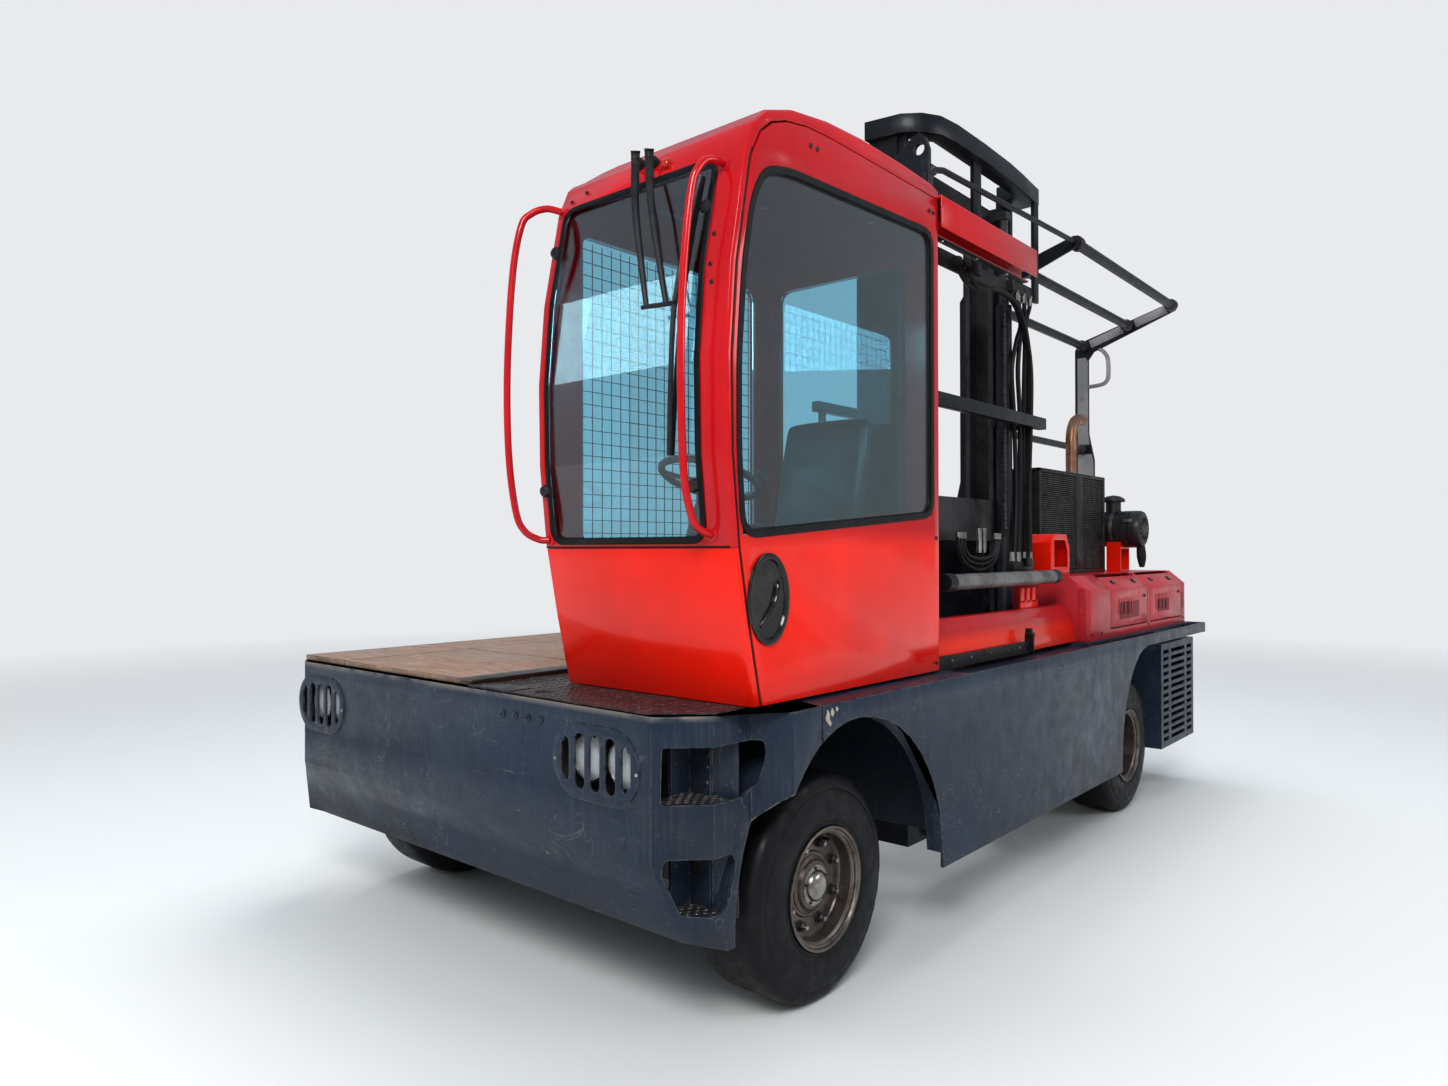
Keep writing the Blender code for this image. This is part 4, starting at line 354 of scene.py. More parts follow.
RED = (0.80, 0.014, 0.002)
RED_CHIP = (0.045, 0.018, 0.015)
# Paint: colour, chips' colour, roughness, coat, dirt, scratches, dirt low down, colour above a level, level
PAINTS = {
    "cab_red": (RED, RED_CHIP, 0.17, 0.30, 0.05, 0.08),
    "door_red": (RED, RED_CHIP, 0.17, 0.30, 0.05, 0.08, True, (0.50, 0.004, 0.010)),
    "crimson": ((0.52, 0.004, 0.010), (0.050, 0.020, 0.018), 0.18, 0.30, 0.06, 0.10),
    "cover_red": ((0.80, 0.030, 0.006), RED_CHIP, 0.20, 0.30, 0.06, 0.10, True, (0.50, 0.008, 0.014), 1.17),
    "hood_red": ((0.50, 0.026, 0.038), (0.050, 0.022, 0.020), 0.32, 0.20, 0.16, 0.26, False),
    "chequer": ((0.026, 0.017, 0.021), (0.18, 0.16, 0.15), 0.30, 0.25, 0.45, 0.80, False),
}
# Steel: colour, roughness, rust, metallic value
STEELS = {
    "tread": ((0.075, 0.070, 0.070), 0.36, 0.35, 0.55),
    "bar_steel": ((0.23, 0.225, 0.22), 0.40, 0.10, 0.45),
    "worn_steel": ((0.20, 0.195, 0.19),),
    "bright_steel": ((0.42, 0.40, 0.38), 0.25, 0.1, 0.95),
    "mesh_steel": ((0.055, 0.055, 0.058), 0.42, 0.15, 0.5),
    "rail_steel": ((0.060, 0.060, 0.066), 0.36, 0.15, 0.45),
    "rim": ((0.165, 0.140, 0.125), 0.36, 0.45, 0.75),
    "black_steel": ((0.022, 0.022, 0.025), 0.42, 0.20, 0.35),
}
# Plastic: colour, roughness, size of the grain
PLASTICS = {
    "plastic": ((0.012, 0.012, 0.014), 0.40, 140.0),
    "gloss_black": ((0.006, 0.006, 0.007), 0.16, 60.0),
    "chip": ((0.46, 0.40, 0.32), 0.75, 200.0),
    "fins": ((0.008, 0.008, 0.009), 0.6, 60.0),
    # void: flat near-black; it paints the shade inside holes, slots, recesses and a seam, and on the dash it
    # is a plain black gauge panel
    "void": ((0.003, 0.003, 0.003), 0.9, 90.0),
    "vinyl": ((0.016, 0.016, 0.019), 0.42, 260.0),
}
MATERIALS = {
    "chassis": chassis_paint(),
    "mast": mast_paint("mast", (0.0065, 0.0085, 0.0125), (0.0150, 0.0180, 0.0245), 0.55),
    "post": mast_paint("post", (0.19, 0.19, 0.20), (0.30, 0.295, 0.295), 0.2),
    "tyre": rubber("tyre", (0.0060, 0.0062, 0.0078), 0.50, 0.22),
    "rubber": rubber("rubber", (0.007, 0.007, 0.008), 0.42, 0.12),
    "wood": plywood(),
    "glass": glass(),
    "amber": lens("amber", (0.85, 0.22, 0.008)),
    "red_lens": lens("red_lens", (0.70, 0.03, 0.005)),
    "clear": lens("clear", (0.80, 0.83, 0.86)),
    "exhaust": exhaust_metal(),
}
for maker, kinds in ((paint, PAINTS), (steel, STEELS), (plastic, PLASTICS)):
    for look, values in kinds.items():
        MATERIALS[look] = maker(look, *values)


def new_item(name, bm):
    """A linked object from a working mesh."""
    mesh = bpy.data.meshes.new(name)
    bm.to_mesh(mesh)
    bm.free()
    item = bpy.data.objects.new(name, mesh)
    SCENE.collection.objects.link(item)
    return item


def circle(step, steps, one, two):
    """A unit arrow, so many steps round from one direction to another."""
    angle = 2 * pi * step / steps
    return Vector(one) * cos(angle) + Vector(two) * sin(angle)


def soften(bm, edges, offset, segments=2):
    """Rounds edges of a working mesh."""
    bmesh.ops.bevel(bm, geom=edges, offset=offset, segments=segments, profile=0.5, affect="EDGES",
                    clamp_overlap=True)


def sharp_edges(bm, angle):
    """Edges between two faces that meet at more than an angle."""
    return [edge for edge in bm.edges if len(edge.link_faces) == 2 and edge.calc_face_angle(0.0) > angle]


# Shapes
class Form:
    """A mesh under construction, from parts that each have a material."""

    def __init__(self, bm=None, key=None):
        self.bm = bmesh.new() if bm is None else bm
        self.looks = [key] if key else []
        for face in self.bm.faces:
            face.material_index = 0

    def look(self, key):
        """The slot of a material, added if it is new."""
        if key not in self.looks:
            self.looks.append(key)
        return self.looks.index(key)

    def face(self, verts, key):
        made = self.bm.faces.new(verts)
        made.material_index = self.look(key)

    def rings(self, rings, key, closed=False):
        """Skins rings of points that all have the same count."""
        made = [[self.bm.verts.new(point) for point in ring] for ring in rings]
        pairs = list(zip(made, made[1:]))
        if closed:
            pairs.append((made[-1], made[0]))
        count = len(made[0])
        for lower, upper in pairs:
            for index in range(count):
                after = (index + 1) % count
                self.face((lower[index], lower[after], upper[after], upper[index]), key)
        if not closed:
            self.face(made[0][::-1], key)
            self.face(made[-1], key)
        return self

    def lathe(self, profile, origin, axis, key, steps=32, dent=None):
        """Turns a profile of (distance along the axis, radius); it ends on the axis or closes on itself."""
        along, side, up = frame_of(axis)
        rows = []
        for number, (reach, radius) in enumerate(profile):
            middle = Vector(origin) + along * reach
            if radius < 1e-6:
                rows.append([self.bm.verts.new(middle)])
                continue
            outs = [radius - (dent(number, step) if dent else 0.0) for step in range(steps)]
            rows.append([self.bm.verts.new(middle + circle(step, steps, side, up) * out)
                         for step, out in enumerate(outs)])
        closed = len(rows[0]) > 1 and len(rows[-1]) > 1
        pairs = list(zip(rows, rows[1:])) + ([(rows[-1], rows[0])] if closed else [])
        for lower, upper in pairs:
            for step in range(steps if len(lower) + len(upper) > 2 else 0):
                after = (step + 1) % steps
                if len(lower) == 1:
                    self.face((lower[0], upper[after], upper[step]), key)
                elif len(upper) == 1:
                    self.face((lower[step], lower[after], upper[0]), key)
                else:
                    self.face((lower[step], lower[after], upper[after], upper[step]), key)
        return self

    def puck(self, place, axis, radius, height, key, steps, low=0.0):
        """A short round bar."""
        high = low + height
        self.lathe([(low, 0.0), (low, radius), (high, radius), (high, 0.0)], place, axis, key, steps)

    def tube(self, points, radius, key, sides=12, fine=6, closed=False, flat=1.0):
        """A round or flattened bar along a smooth curve through the points."""
        line = curve_through(points, fine, closed)
        rings = []
        side = None
        for index, (point, along) in enumerate(with_directions(line, closed)):
            if side is None:
                side = along.orthogonal().normalized()
            side = (side - along * side.dot(along)).normalized()
            up = along.cross(side) * flat
            reach = radius(index / (len(line) - 1)) if callable(radius) else radius
            rings.append([point + circle(s, sides, side, up) * reach for s in range(sides)])
        return self.rings(rings, key, closed)

    def sweep(self, points, normals, section, key, closed=False):
        """Carries a section of (across, out) points along a line that lies on a surface."""
        rings = []
        for (point, along), out in zip(with_directions(points, closed), normals):
            across = along.cross(out).normalized()
            rings.append([point + across * a + out * o for a, o in section])
        return self.rings(rings, key, closed)

    def slab(self, outline, place, across, up, thick, key, holes=(), edge=0.0):
        """A flat plate with holes: its back lies at the place, its front stands a thickness proud."""
        place, across, up = Vector(place), Vector(across).normalized(), Vector(up).normalized()
        out = across.cross(up)
        fresh = bmesh.new()
        edges = []
        for loop in [outline, *holes]:
            verts = [fresh.verts.new(place + across * a + up * b) for a, b in loop]
            edges += [fresh.edges.new((verts[i], verts[(i + 1) % len(verts)])) for i in range(len(verts))]
        bmesh.ops.triangle_fill(fresh, use_beauty=True, use_dissolve=False, edges=edges, normal=out)
        bmesh.ops.dissolve_limit(fresh, angle_limit=0.01, verts=fresh.verts, edges=fresh.edges, delimit=set())
        moved = bmesh.ops.extrude_face_region(fresh, geom=fresh.faces[:])["geom"]
        raised = [v for v in moved if isinstance(v, bmesh.types.BMVert)]
        bmesh.ops.translate(fresh, vec=out * thick, verts=raised)
        bmesh.ops.recalc_face_normals(fresh, faces=fresh.faces)
        if edge:
            rim = [e for e in sharp_edges(fresh, 0.8)
                   if all(((v.co - place).dot(out) - thick) > -1e-6 for v in e.verts)]
            bmesh.ops.bevel(fresh, geom=rim, offset=edge, segments=2, profile=0.5, affect="EDGES")
        self.add(fresh, key)
        return self

    def block(self, low, high, key, edge=0.0, turn=None):
        """A box with softened edges."""
        low, high = Vector(low), Vector(high)
        fresh = bmesh.new()
        bmesh.ops.create_cube(fresh, size=1.0)
        for vert in fresh.verts:
            vert.co = Vector((low[i] + (vert.co[i] + 0.5) * (high[i] - low[i]) for i in range(3)))
        if edge:
            bmesh.ops.bevel(fresh, geom=fresh.edges[:], offset=edge, segments=2, profile=0.5, affect="EDGES")
        if turn:
            bmesh.ops.rotate(fresh, cent=(low + high) / 2, matrix=turn, verts=fresh.verts)
        self.add(fresh, key)

    def add(self, fresh, key):
        """Takes over a working mesh."""
        index = self.look(key)
        copies = {vert: self.bm.verts.new(vert.co) for vert in fresh.verts}
        for face in fresh.faces:
            made = self.bm.faces.new([copies[vert] for vert in face.verts])
            made.material_index = index
        fresh.free()

    def bolt(self, place, out, size, key="black_steel", washer=True):
        """A hexagon bolt head on its washer."""
        if washer:
            ring = ((0, 0.72), (0.10, 0.70), (0.12, 0.3), (0.0, 0.3))
            self.lathe([(size * a, size * b) for a, b in ring], place, out, key, 16)
        self.lathe([(size * 0.08, 0), (size * 0.08, size * 0.52), (size * 0.42, size * 0.52),
                    (size * 0.50, size * 0.42), (size * 0.50, 0)], place, out, key, 6)

    def button(self, place, out, size, key="black_steel"):
        """A round screw head with a socket."""
        profile = ((0, 1), (0.35, 1), (0.62, 0.72), (0.66, 0.42), (0.30, 0.36), (0.30, 0))
        self.lathe([(size * a, size * b) for a, b in profile], place, out, key, 14)

    def done(self, name, body="chassis", stands_for=(), sharp=38):
        """Makes the piece, puts it on its body and lets it stand for CAD nodes."""
        bmesh.ops.recalc_face_normals(self.bm, faces=self.bm.faces)
        item = new_item(name, self.bm)
        mesh = item.data
        mesh.polygons.foreach_set("use_smooth", [True] * len(mesh.polygons))
        mesh.set_sharp_from_angle(angle=radians(sharp))
        for key in self.looks:
            mesh.materials.append(MATERIALS[key])
        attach(item, body)
        if stands_for:
            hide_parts(*stands_for)
        return item


def frame_of(direction):
    """A direction and two more at right angles to it."""
    along = Vector(direction).normalized()
    side = along.orthogonal().normalized()
    return along, side, along.cross(side)


def with_directions(line, closed=False):
    """Each point of a line with the direction that the line has there."""
    last = len(line) - 1
    for index, point in enumerate(line):
        before = line[index - 1] if closed or index else point
        after = line[(index + 1) % len(line)] if closed or index < last else point
        yield point, (after - before).normalized()


def curve_through(points, fine, closed=False):
    """A smooth line through points, with so many steps between each pair."""
    line = [Vector(point) for point in points]
    if fine <= 1:
        return line
    if closed:
        line = [line[-1], *line, line[0], line[1]]
    else:
        line = [line[0] - (line[1] - line[0]), *line, line[-1] + (line[-1] - line[-2])]
    result = []
    for p0, p1, p2, p3 in zip(line, line[1:], line[2:], line[3:]):
        for step in range(fine):
            t = step / fine
            result.append(0.5 * (2 * p1 + (p2 - p0) * t + (2 * p0 - 5 * p1 + 4 * p2 - p3) * t * t
                                 + (3 * p1 - p0 - 3 * p2 + p3) * t ** 3))
    return result if closed else result + [line[-2]]


def spaced(place, end, pitch):
    """Places a pitch apart, short of the end."""
    while place < end:
        yield place
        place += pitch


def flat_dissolve(bm, angle):
    """Merges faces that lie within an angle, in degrees, of one plane."""
    bmesh.ops.dissolve_limit(bm, angle_limit=radians(angle), verts=bm.verts, edges=bm.edges, delimit=set())


def softened(node, width, key):
    """The CAD solid again, with its edges rounded."""
    source = NODES[node]
    bm = bmesh.new()
    bm.from_mesh(source.data)
    bmesh.ops.remove_doubles(bm, verts=bm.verts, dist=1e-6)
    flat_dissolve(bm, 0.6)
    soften(bm, sharp_edges(bm, radians(28)), width)
    Form(bm, key).done("fine_" + node, source["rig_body"], (node,), 30)


def round_box(low, high, radius, steps):
    """A rectangle with round corners, anticlockwise."""
    result = []
    for cx, cy, start in ((high[0] - radius, low[1] + radius, -90), (high[0] - radius, high[1] - radius, 0),
                          (low[0] + radius, high[1] - radius, 90), (low[0] + radius, low[1] + radius, 180)):
        for step in range(steps + 1):
            angle = radians(start + 90 * step / steps)
            result.append((cx + radius * cos(angle), cy + radius * sin(angle)))
    return result


def stadium(half, steps, centre=(0, 0)):
    """A slot outline with round ends."""
    low, high = ([centre[i] + way * half[i] for i in (0, 1)] for way in (-1, 1))
    clean = []
    for point in round_box(low, high, min(half), steps):
        if not any(abs(point[0] - a) + abs(point[1] - b) < 1e-6 for a, b in clean[:1] + clean[-1:]):
            clean.append(point)
    return clean


def neighbours(line):
    """Each corner of a closed outline with the one before and the one after."""
    corners = [Vector(point) for point in line]
    return zip(corners[-1:] + corners[:-1], corners, corners[1:] + corners[:1])


def round_corners(line, radius, steps):
    """A closed outline with its corners rounded."""
    result = []
    for before, corner, after in neighbours(line):
        one, two = (before - corner), (after - corner)
        cut = min(radius, one.length * 0.45, two.length * 0.45)
        start, end = corner + one.normalized() * cut, corner + two.normalized() * cut
        for step in range(steps + 1):
            t = step / steps
            result.append(tuple((1 - t) ** 2 * start + 2 * t * (1 - t) * corner + t * t * end))
    return result


def inset(line, distance):
    """A closed outline moved in, for an outline that runs anticlockwise."""
    result = []
    for before, here, after in neighbours(line):
        one, two = (here - before).normalized(), (after - here).normalized()
        normal = Vector((-(one.y + two.y), one.x + two.x)).normalized()
        result.append(tuple(here + normal * distance / max(0.4, normal.dot(Vector((-one.y, one.x))))))
    return result


def refine(line, step):
    """A closed outline with points added so that none is further than a step from the next."""
    result = []
    for one, two in zip(line, line[1:] + line[:1]):
        one, two = Vector(one), Vector(two)
        count = max(1, int((two - one).length / step + 0.999))
        result += [tuple(one + (two - one) * k / count) for k in range(count)]
    return result


# CAD nodes by the material that their slots get
NODE_LOOKS = {
    "cab_red": "cab_front_panel door_panel grab_rail_left grab_rail_right hose_guard air_cleaner_bracket",
    "crimson": "cab_frame cab_roof cab_rear_wall cab_inner_wall door_rail_upper lower_cover",
    "hood_red": "engine_cover hatch_front hatch_rear",
    "chassis": "chassis_frame front_panel side_plate_right side_plate_left_rear floor_plate rear_panel "
               "grille_block",
    "mast": "mast_outer fork_carriage load_guard lug_post",
    "rail_steel": "mast_inner",
    "rim": "rim_front_left rim_front_right rim_rear_left rim_rear_right",
    "black_steel": "front_axle rear_axle knuckle_left knuckle_right engine_block cooler_guard "
                   "door_rail_lower",
    "tyre": "tyre_front_left tyre_front_right tyre_rear_left tyre_rear_right",
    "rubber": "mast_hoses",
    "wood": "front_deck_wood rear_deck_wood",
    "glass": "cab_inner_glass cab_rear_glass cab_windscreen door_glass",
    "amber": "beacon",
    "clear": "head_lamp_left head_lamp_right",
    "plastic": "cab_console cab_floor air_cleaner",
    "vinyl": "cab_seat",
    "exhaust": "exhaust_pipe",
}


def dress_nodes():
    for key, names in NODE_LOOKS.items():
        for name in names.split():
            for slot in NODES[name].material_slots:
                slot.material = MATERIALS[key]


SHELL_RADIUS = 70.0
SHELL_COLOUR = (0.91, 0.92, 0.94, 1.0)
SHELL_GLOW = 0.92
FLOOR_HALF = 60.0
# Where the floor starts to fade into the shell, and where it has
FADE = (3.6, 15.0)
# Lights: name, place, aimed at, width, height, watts
LIGHTS = [("key", (5.0, -7.5, 7.0), (0.3, -1.0, 1.2), 4.0, 3.0, 600.0),
          ("front", (-4.5, -8.0, 5.0), (0.0, -1.5, 1.2), 4.0, 2.0, 170.0),
          ("side", (9.0, 2.5, 5.0), (0.6, 1.0, 1.0), 5.0, 2.0, 170.0),
          ("top", (-1.0, 2.0, 9.0), (0.0, 0.0, 0.0), 7.0, 7.0, 560.0)]


def backdrop():
    """A pale shell round everything that only the camera sees."""
    bm = bmesh.new()
    bmesh.ops.create_uvsphere(bm, u_segments=48, v_segments=24, radius=SHELL_RADIUS)
    bmesh.ops.reverse_faces(bm, faces=bm.faces)
    shell = new_item("shell", bm)
    for ray in ("diffuse", "glossy", "transmission", "shadow", "volume_scatter"):
        setattr(shell, "visible_" + ray, ray == "transmission")
    s = Shader("shell", (0.0, 0.0, 0.0), 1.0)
    s.set("Emission Color", SHELL_COLOUR)
    s.set("Emission Strength", SHELL_GLOW)
    s.set("Specular IOR Level", 0.0)
    shell.data.materials.append(s.material)


def studio_floor():
    """A pale floor that takes on the shell's own tone far from the truck, so no horizon shows."""
    bm = bmesh.new()
    bm.faces.new([bm.verts.new((x * FLOOR_HALF, y * FLOOR_HALF, 0.0))
                  for x, y in ((-1, -1), (1, -1), (1, 1), (-1, 1))])
    floor = new_item("floor", bm)
    s = Shader("floor", (0.78, 0.78, 0.77), 0.65)
    reach = s.node("ShaderNodeVectorMath", {0: s.place}, "Value", operation="LENGTH")
    far = s.span(reach, *FADE)
    s.set("Emission Color", SHELL_COLOUR)
    s.set("Emission Strength", s.times(far, SHELL_GLOW))
    s.set("Base Color", s.mix(far, (0.78, 0.78, 0.77), (0.0, 0.0, 0.0)))
    s.set("Specular IOR Level", s.times(s.maths("SUBTRACT", 1.0, far), 0.5))
    floor.data.materials.append(s.material)


def soft_sky():
    """A soft dome: pale at the level of the floor, bluer above."""
    world = bpy.data.worlds.new("soft_sky")
    world.use_nodes = True
    tree = world.node_tree
    shade = tree.nodes["Background"]
    shade.inputs["Strength"].default_value = 0.50
    split = tree.nodes.new("ShaderNodeSeparateXYZ")
    tree.links.new(tree.nodes.new("ShaderNodeTexCoord").outputs["Generated"], split.inputs["Vector"])
    ramp = tree.nodes.new("ShaderNodeValToRGB")
    tree.links.new(split.outputs["Z"], ramp.inputs["Fac"])
    ramp.color_ramp.elements[0].color = (1.0, 1.0, 0.98, 1.0)
    ramp.color_ramp.elements[1].position = 0.45
    ramp.color_ramp.elements[1].color = (0.76, 0.88, 1.0, 1.0)
    tree.links.new(ramp.outputs["Color"], shade.inputs["Color"])
    SCENE.world = world


def set_stage():
    """Floor, shell, sky, the picture's tone and large soft lights."""
    studio_floor()
    backdrop()
    SCENE.view_settings.view_transform = "Standard"
    SCENE.view_settings.gamma = 0.86
    soft_sky()
    for name, place, aim, width, height, watts in LIGHTS:
        light = bpy.data.lights.new(name, "AREA")
        light.shape = "RECTANGLE"
        light.size = width
        light.size_y = height
        light.energy = watts
        item = bpy.data.objects.new(name, light)
        item.location = place
        item.rotation_euler = (Vector(aim) - Vector(place)).to_track_quat("-Z", "Y").to_euler()
        item.visible_glossy = name in ("key", "side")
        SCENE.collection.objects.link(item)


# Wheels
AXLE_Z = 0.40
TYRE_R = 0.40
TYRE_WIDTH = 0.292
WHEEL_X = 1.045
WHEEL_YS = {"front": -1.875, "rear": 1.34}
BEAD_R = 0.186
# Half of the tyre's section: distance in from its face, radius
TYRE_HALF = [(0.011, 0.1965), (0.011, 0.204), (0.006, 0.214), (0.001, 0.220), (-0.0005, 0.227),
             (0.0015, 0.231),
             (-0.003, 0.236), (-0.0055, 0.250), (-0.006, 0.275), (-0.005, 0.305), (-0.002, 0.330),
             (0.0005, 0.343),
             (0.0035, 0.3455), (0.0030, 0.351), (0.0065, 0.364), (0.0125, 0.378), (0.020, 0.388),
             (0.031, 0.3955), (0.046, 0.3995), (0.090, TYRE_R)]
# Wheel: depth of the disc behind the outer face, radius and count of the nuts, length of the hub
WHEEL_KINDS = {"front": (0.075, 0.146, 8, 0.060), "rear": (0.185, 0.140, 8, 0.108)}


def wheel(place, side):
    """Tyre with a worn shoulder; rim with flange, disc, nuts and a domed hub cap."""
    name = place + "_" + side
    way = 1 if side == "right" else -1
    body = "wheel_" + name
    face = (way * (WHEEL_X + TYRE_WIDTH / 2), WHEEL_YS[place], AXLE_Z)
    inward = (-way, 0, 0)
    section = TYRE_HALF + [(TYRE_WIDTH - d, r) for d, r in reversed(TYRE_HALF)]
    chips = random.Random(len(name) * 7 + (3 if place == "front" else 5))
    torn = {step: chips.uniform(0.001, 0.0045) for step in chips.sample(range(144), 40)}

    def dent(number, step):
        near = number if number < len(section) / 2 else len(section) - 1 - number
        return torn.get(step, 0.0) * (1.0 if near in (15, 16) else 0.4 if near in (14, 17) else 0.0)

    Form().lathe(section, face, inward, "tyre", 144, dent).done("tread_" + name, body, ("tyre_" + name,), 50)

    dish, nut_r, nuts, hub_long = WHEEL_KINDS[place]
    back = dish + 0.014
    rim = [(-0.0060, 0.2155), (-0.0078, 0.2120), (-0.0072, 0.2070), (-0.0035, 0.2035), (0.004, 0.2015),
           (0.010, 0.197), (0.014, 0.1900), (0.018, BEAD_R), (dish - 0.010, BEAD_R),
           (dish - 0.004, BEAD_R - 0.004), (dish, BEAD_R - 0.014), (dish, 0.118), (dish - 0.006, 0.112),
           (dish - 0.006, 0.055), (back, 0.055), (back, BEAD_R - 0.010), (back + 0.008, BEAD_R),
           (TYRE_WIDTH - 0.018, BEAD_R), (TYRE_WIDTH - 0.004, 0.2015), (TYRE_WIDTH + 0.0035, 0.2035),
           (TYRE_WIDTH + 0.0078, 0.2120), (TYRE_WIDTH + 0.006, 0.2155), (TYRE_WIDTH - 0.001, 0.2150),
           (TYRE_WIDTH - 0.004, 0.1960), (0.004, 0.1960), (0.001, 0.2150)]
    form = Form().lathe(rim, face, inward, "rim", 96)
    front = Vector(face) + Vector(inward) * dish
    out = Vector((way, 0, 0))
    # Hub: a stepped boss and a polished dome with its ring of bolts
    boss = [(0.004, 0.0), (0.004, 0.104), (0.010, 0.102), (0.013, 0.094), (0.015, 0.090),
            (hub_long * 0.42, 0.084), (hub_long * 0.46, 0.078), (hub_long * 0.46, 0.0)]
    form.lathe(boss, front, out, "rim", 48)
    dome = ((0.44, 0.0), (0.44, 0.070), (0.52, 0.070), (0.54, 0.056), (0.70, 0.053), (0.84, 0.044),
            (0.94, 0.030), (0.99, 0.014), (1.0, 0.0))
    form.lathe([(hub_long * share, radius) for share, radius in dome], front, out, "bright_steel", 48)
    for number in range(5):
        place_at = front + out * hub_long * 0.50 + circle(number + 0.3, 5, Y, Z) * 0.0625
        form.bolt(place_at, out, 0.013, washer=False)
    for number in range(nuts):
        spot = front + circle(number + 0.5, nuts, Y, Z) * nut_r
        form.lathe([(0, 0.0205), (0.004, 0.0195), (0.006, 0.010), (0.0, 0.010)], spot, out, "black_steel", 18)
        form.lathe([(0.003, 0), (0.003, 0.0175), (0.018, 0.0175), (0.022, 0.0140), (0.022, 0)], spot, out,
                   "black_steel", 6)
        form.lathe([(0.02, 0), (0.02, 0.0085), (0.034, 0.0085), (0.036, 0.0065), (0.036, 0)], spot, out,
                   "bright_steel", 12)
    valve = front + Vector((0, cos(1.0), sin(1.0))) * 0.168
    form.lathe([(0, 0), (0, 0.005), (0.018, 0.005), (0.020, 0.006), (0.028, 0.006), (0.029, 0)], valve, out,
               "rubber", 10)
    form.done("hub_" + name, body, ("rim_" + name,), 30)


# Head lamps
LAMP_Z = 0.90
LAMP_HALF = (0.209, 0.125)
LAMP_XS = {"left": -1.064, "right": 0.780}
FRONT_Y = -2.59
# Slot: offset across, half width, half height
LAMP_SLOTS = [(-0.148, 0.021, 0.074), (-0.074, 0.0245, 0.092), (0.0, 0.0245, 0.092), (0.074, 0.0245, 0.092),
              (0.148, 0.021, 0.074)]


def head_lamp(side):
    """A slotted oval cover in body paint over a black bowl with two round lamps."""
    x = LAMP_XS[side]
    slots = []
    for offset, half_w, half_h in LAMP_SLOTS:
        line = stadium((half_w, half_h), 6, (offset, 0))
        if abs(offset) > 0.1:
            way = 1 if offset > 0 else -1
            line = [(max(-0.186, min(0.186, a)), b) for a, b in line]
            line = [(a, b * (1.0 if way * (a - offset) < 0.002 else 0.80)) for a, b in line]
        slots.append(line)
    form = Form().slab(stadium(LAMP_HALF, 10), (x, FRONT_Y + 0.0045, LAMP_Z), X, Z, 0.0075, "chassis",
                       slots, 0.0015)

    def oval(depth, size):
        return [Vector((x + a * size, FRONT_Y + depth, LAMP_Z + b * size)) for a, b in stadium(LAMP_HALF, 8)]

    wall = ((0.005, 0.985), (0.030, 0.97), (0.098, 0.86), (0.104, 0.80), (0.112, 0.80), (0.1145, 0.88),
            (0.060, 0.995), (0.005, 0.999))
    form.rings([oval(depth, size) for depth, size in wall], "plastic", closed=True)
    form.rings([oval(depth, 0.82) for depth in (0.103, 0.1125)], "plastic")
    for way in (-1, 1):
        centre = (x + way * 0.088, FRONT_Y + 0.104, LAMP_Z)
        form.lathe([(0.0, 0.079), (0.040, 0.083), (0.052, 0.083), (0.054, 0.078), (0.046, 0.0755),
                    (0.010, 0.055), (0.004, 0.0), (0.0, 0.0)], centre, AHEAD, "bright_steel", 40)
        form.lathe([(0.047, 0.0), (0.047, 0.0755), (0.052, 0.0755), (0.062, 0.055), (0.067, 0.028),
                    (0.068, 0.0)],
                   centre, AHEAD, "clear", 40)
        form.lathe([(0.012, 0.0), (0.012, 0.012), (0.030, 0.012), (0.036, 0.008), (0.036, 0.0)], centre,
                   AHEAD, "amber" if way > 0 and side == "right" else "clear", 16)
        form.button((x + way * 0.1965, FRONT_Y - 0.003, LAMP_Z - 0.006), AHEAD, 0.0065, "bright_steel")
    form.done("lamp_cover_" + side, stands_for=("head_lamp_" + side,), sharp=32)


# Chips of paint on the side plate's front corner: y, z, width, height
PAINT_CHIPS = [(-2.048, 1.040, 0.012, 0.021), (-2.022, 1.052, 0.010, 0.013), (-2.035, 1.018, 0.007, 0.009),
               (-1.995, 1.060, 0.008, 0.008)]


def panel_bolts():
    """Bolts on the front panel, a strip of painted shade in the seam at the side plate's front corner, and
    chips of bare metal on that corner.
    """
    form = Form()
    for x in (0.288, 0.359, 0.432, 0.501):
        form.button((x, FRONT_Y + 0.0005, 1.008), AHEAD, 0.0135, "chassis")
    # Painted shade: a thin black strip in the seam between the front plate and the side plate
    form.block((1.3165, -2.0785, 0.99), (1.3186, -2.0735, 1.079), "void")
    for y, z, wide, tall in PAINT_CHIPS:
        line = [(wide * (1 + 0.35 * sin(3.1 * k + 40 * y)) * cos(k * pi / 5),
                 tall * (1 + 0.35 * cos(2.3 * k)) * sin(k * pi / 5)) for k in range(10)]
        form.slab(line, (1.3196, y, z), Y, Z, 0.0006, "chip")
    form.done("panel_bolts")


# Cab front in profile: y, z of the outer skin
CAB_FRONT = [(-2.285, 1.0863), (-2.345, 1.35), (-2.393, 1.60), (-2.425, 1.90), (-2.430, 2.20), (-2.405, 2.50),
             (-2.335, 2.86), (-2.290, 2.965), (-2.215, 3.035)]


def front_at(z):
    """Place and outward direction of the cab's front skin at a height."""
    for (y0, z0), (y1, z1) in zip(CAB_FRONT, CAB_FRONT[1:]):
        if z <= z1 or (y1, z1) == CAB_FRONT[-1]:
            share = (z - z0) / (z1 - z0)
            return y0 + (y1 - y0) * share, Vector((0, -(z1 - z0), (y1 - y0))).normalized()


def on_front(x, z, lift=0.0):
    """A point on the cab's front skin, moved out by a lift."""
    y, out = front_at(z)
    return Vector((x, y, z)) + out * lift


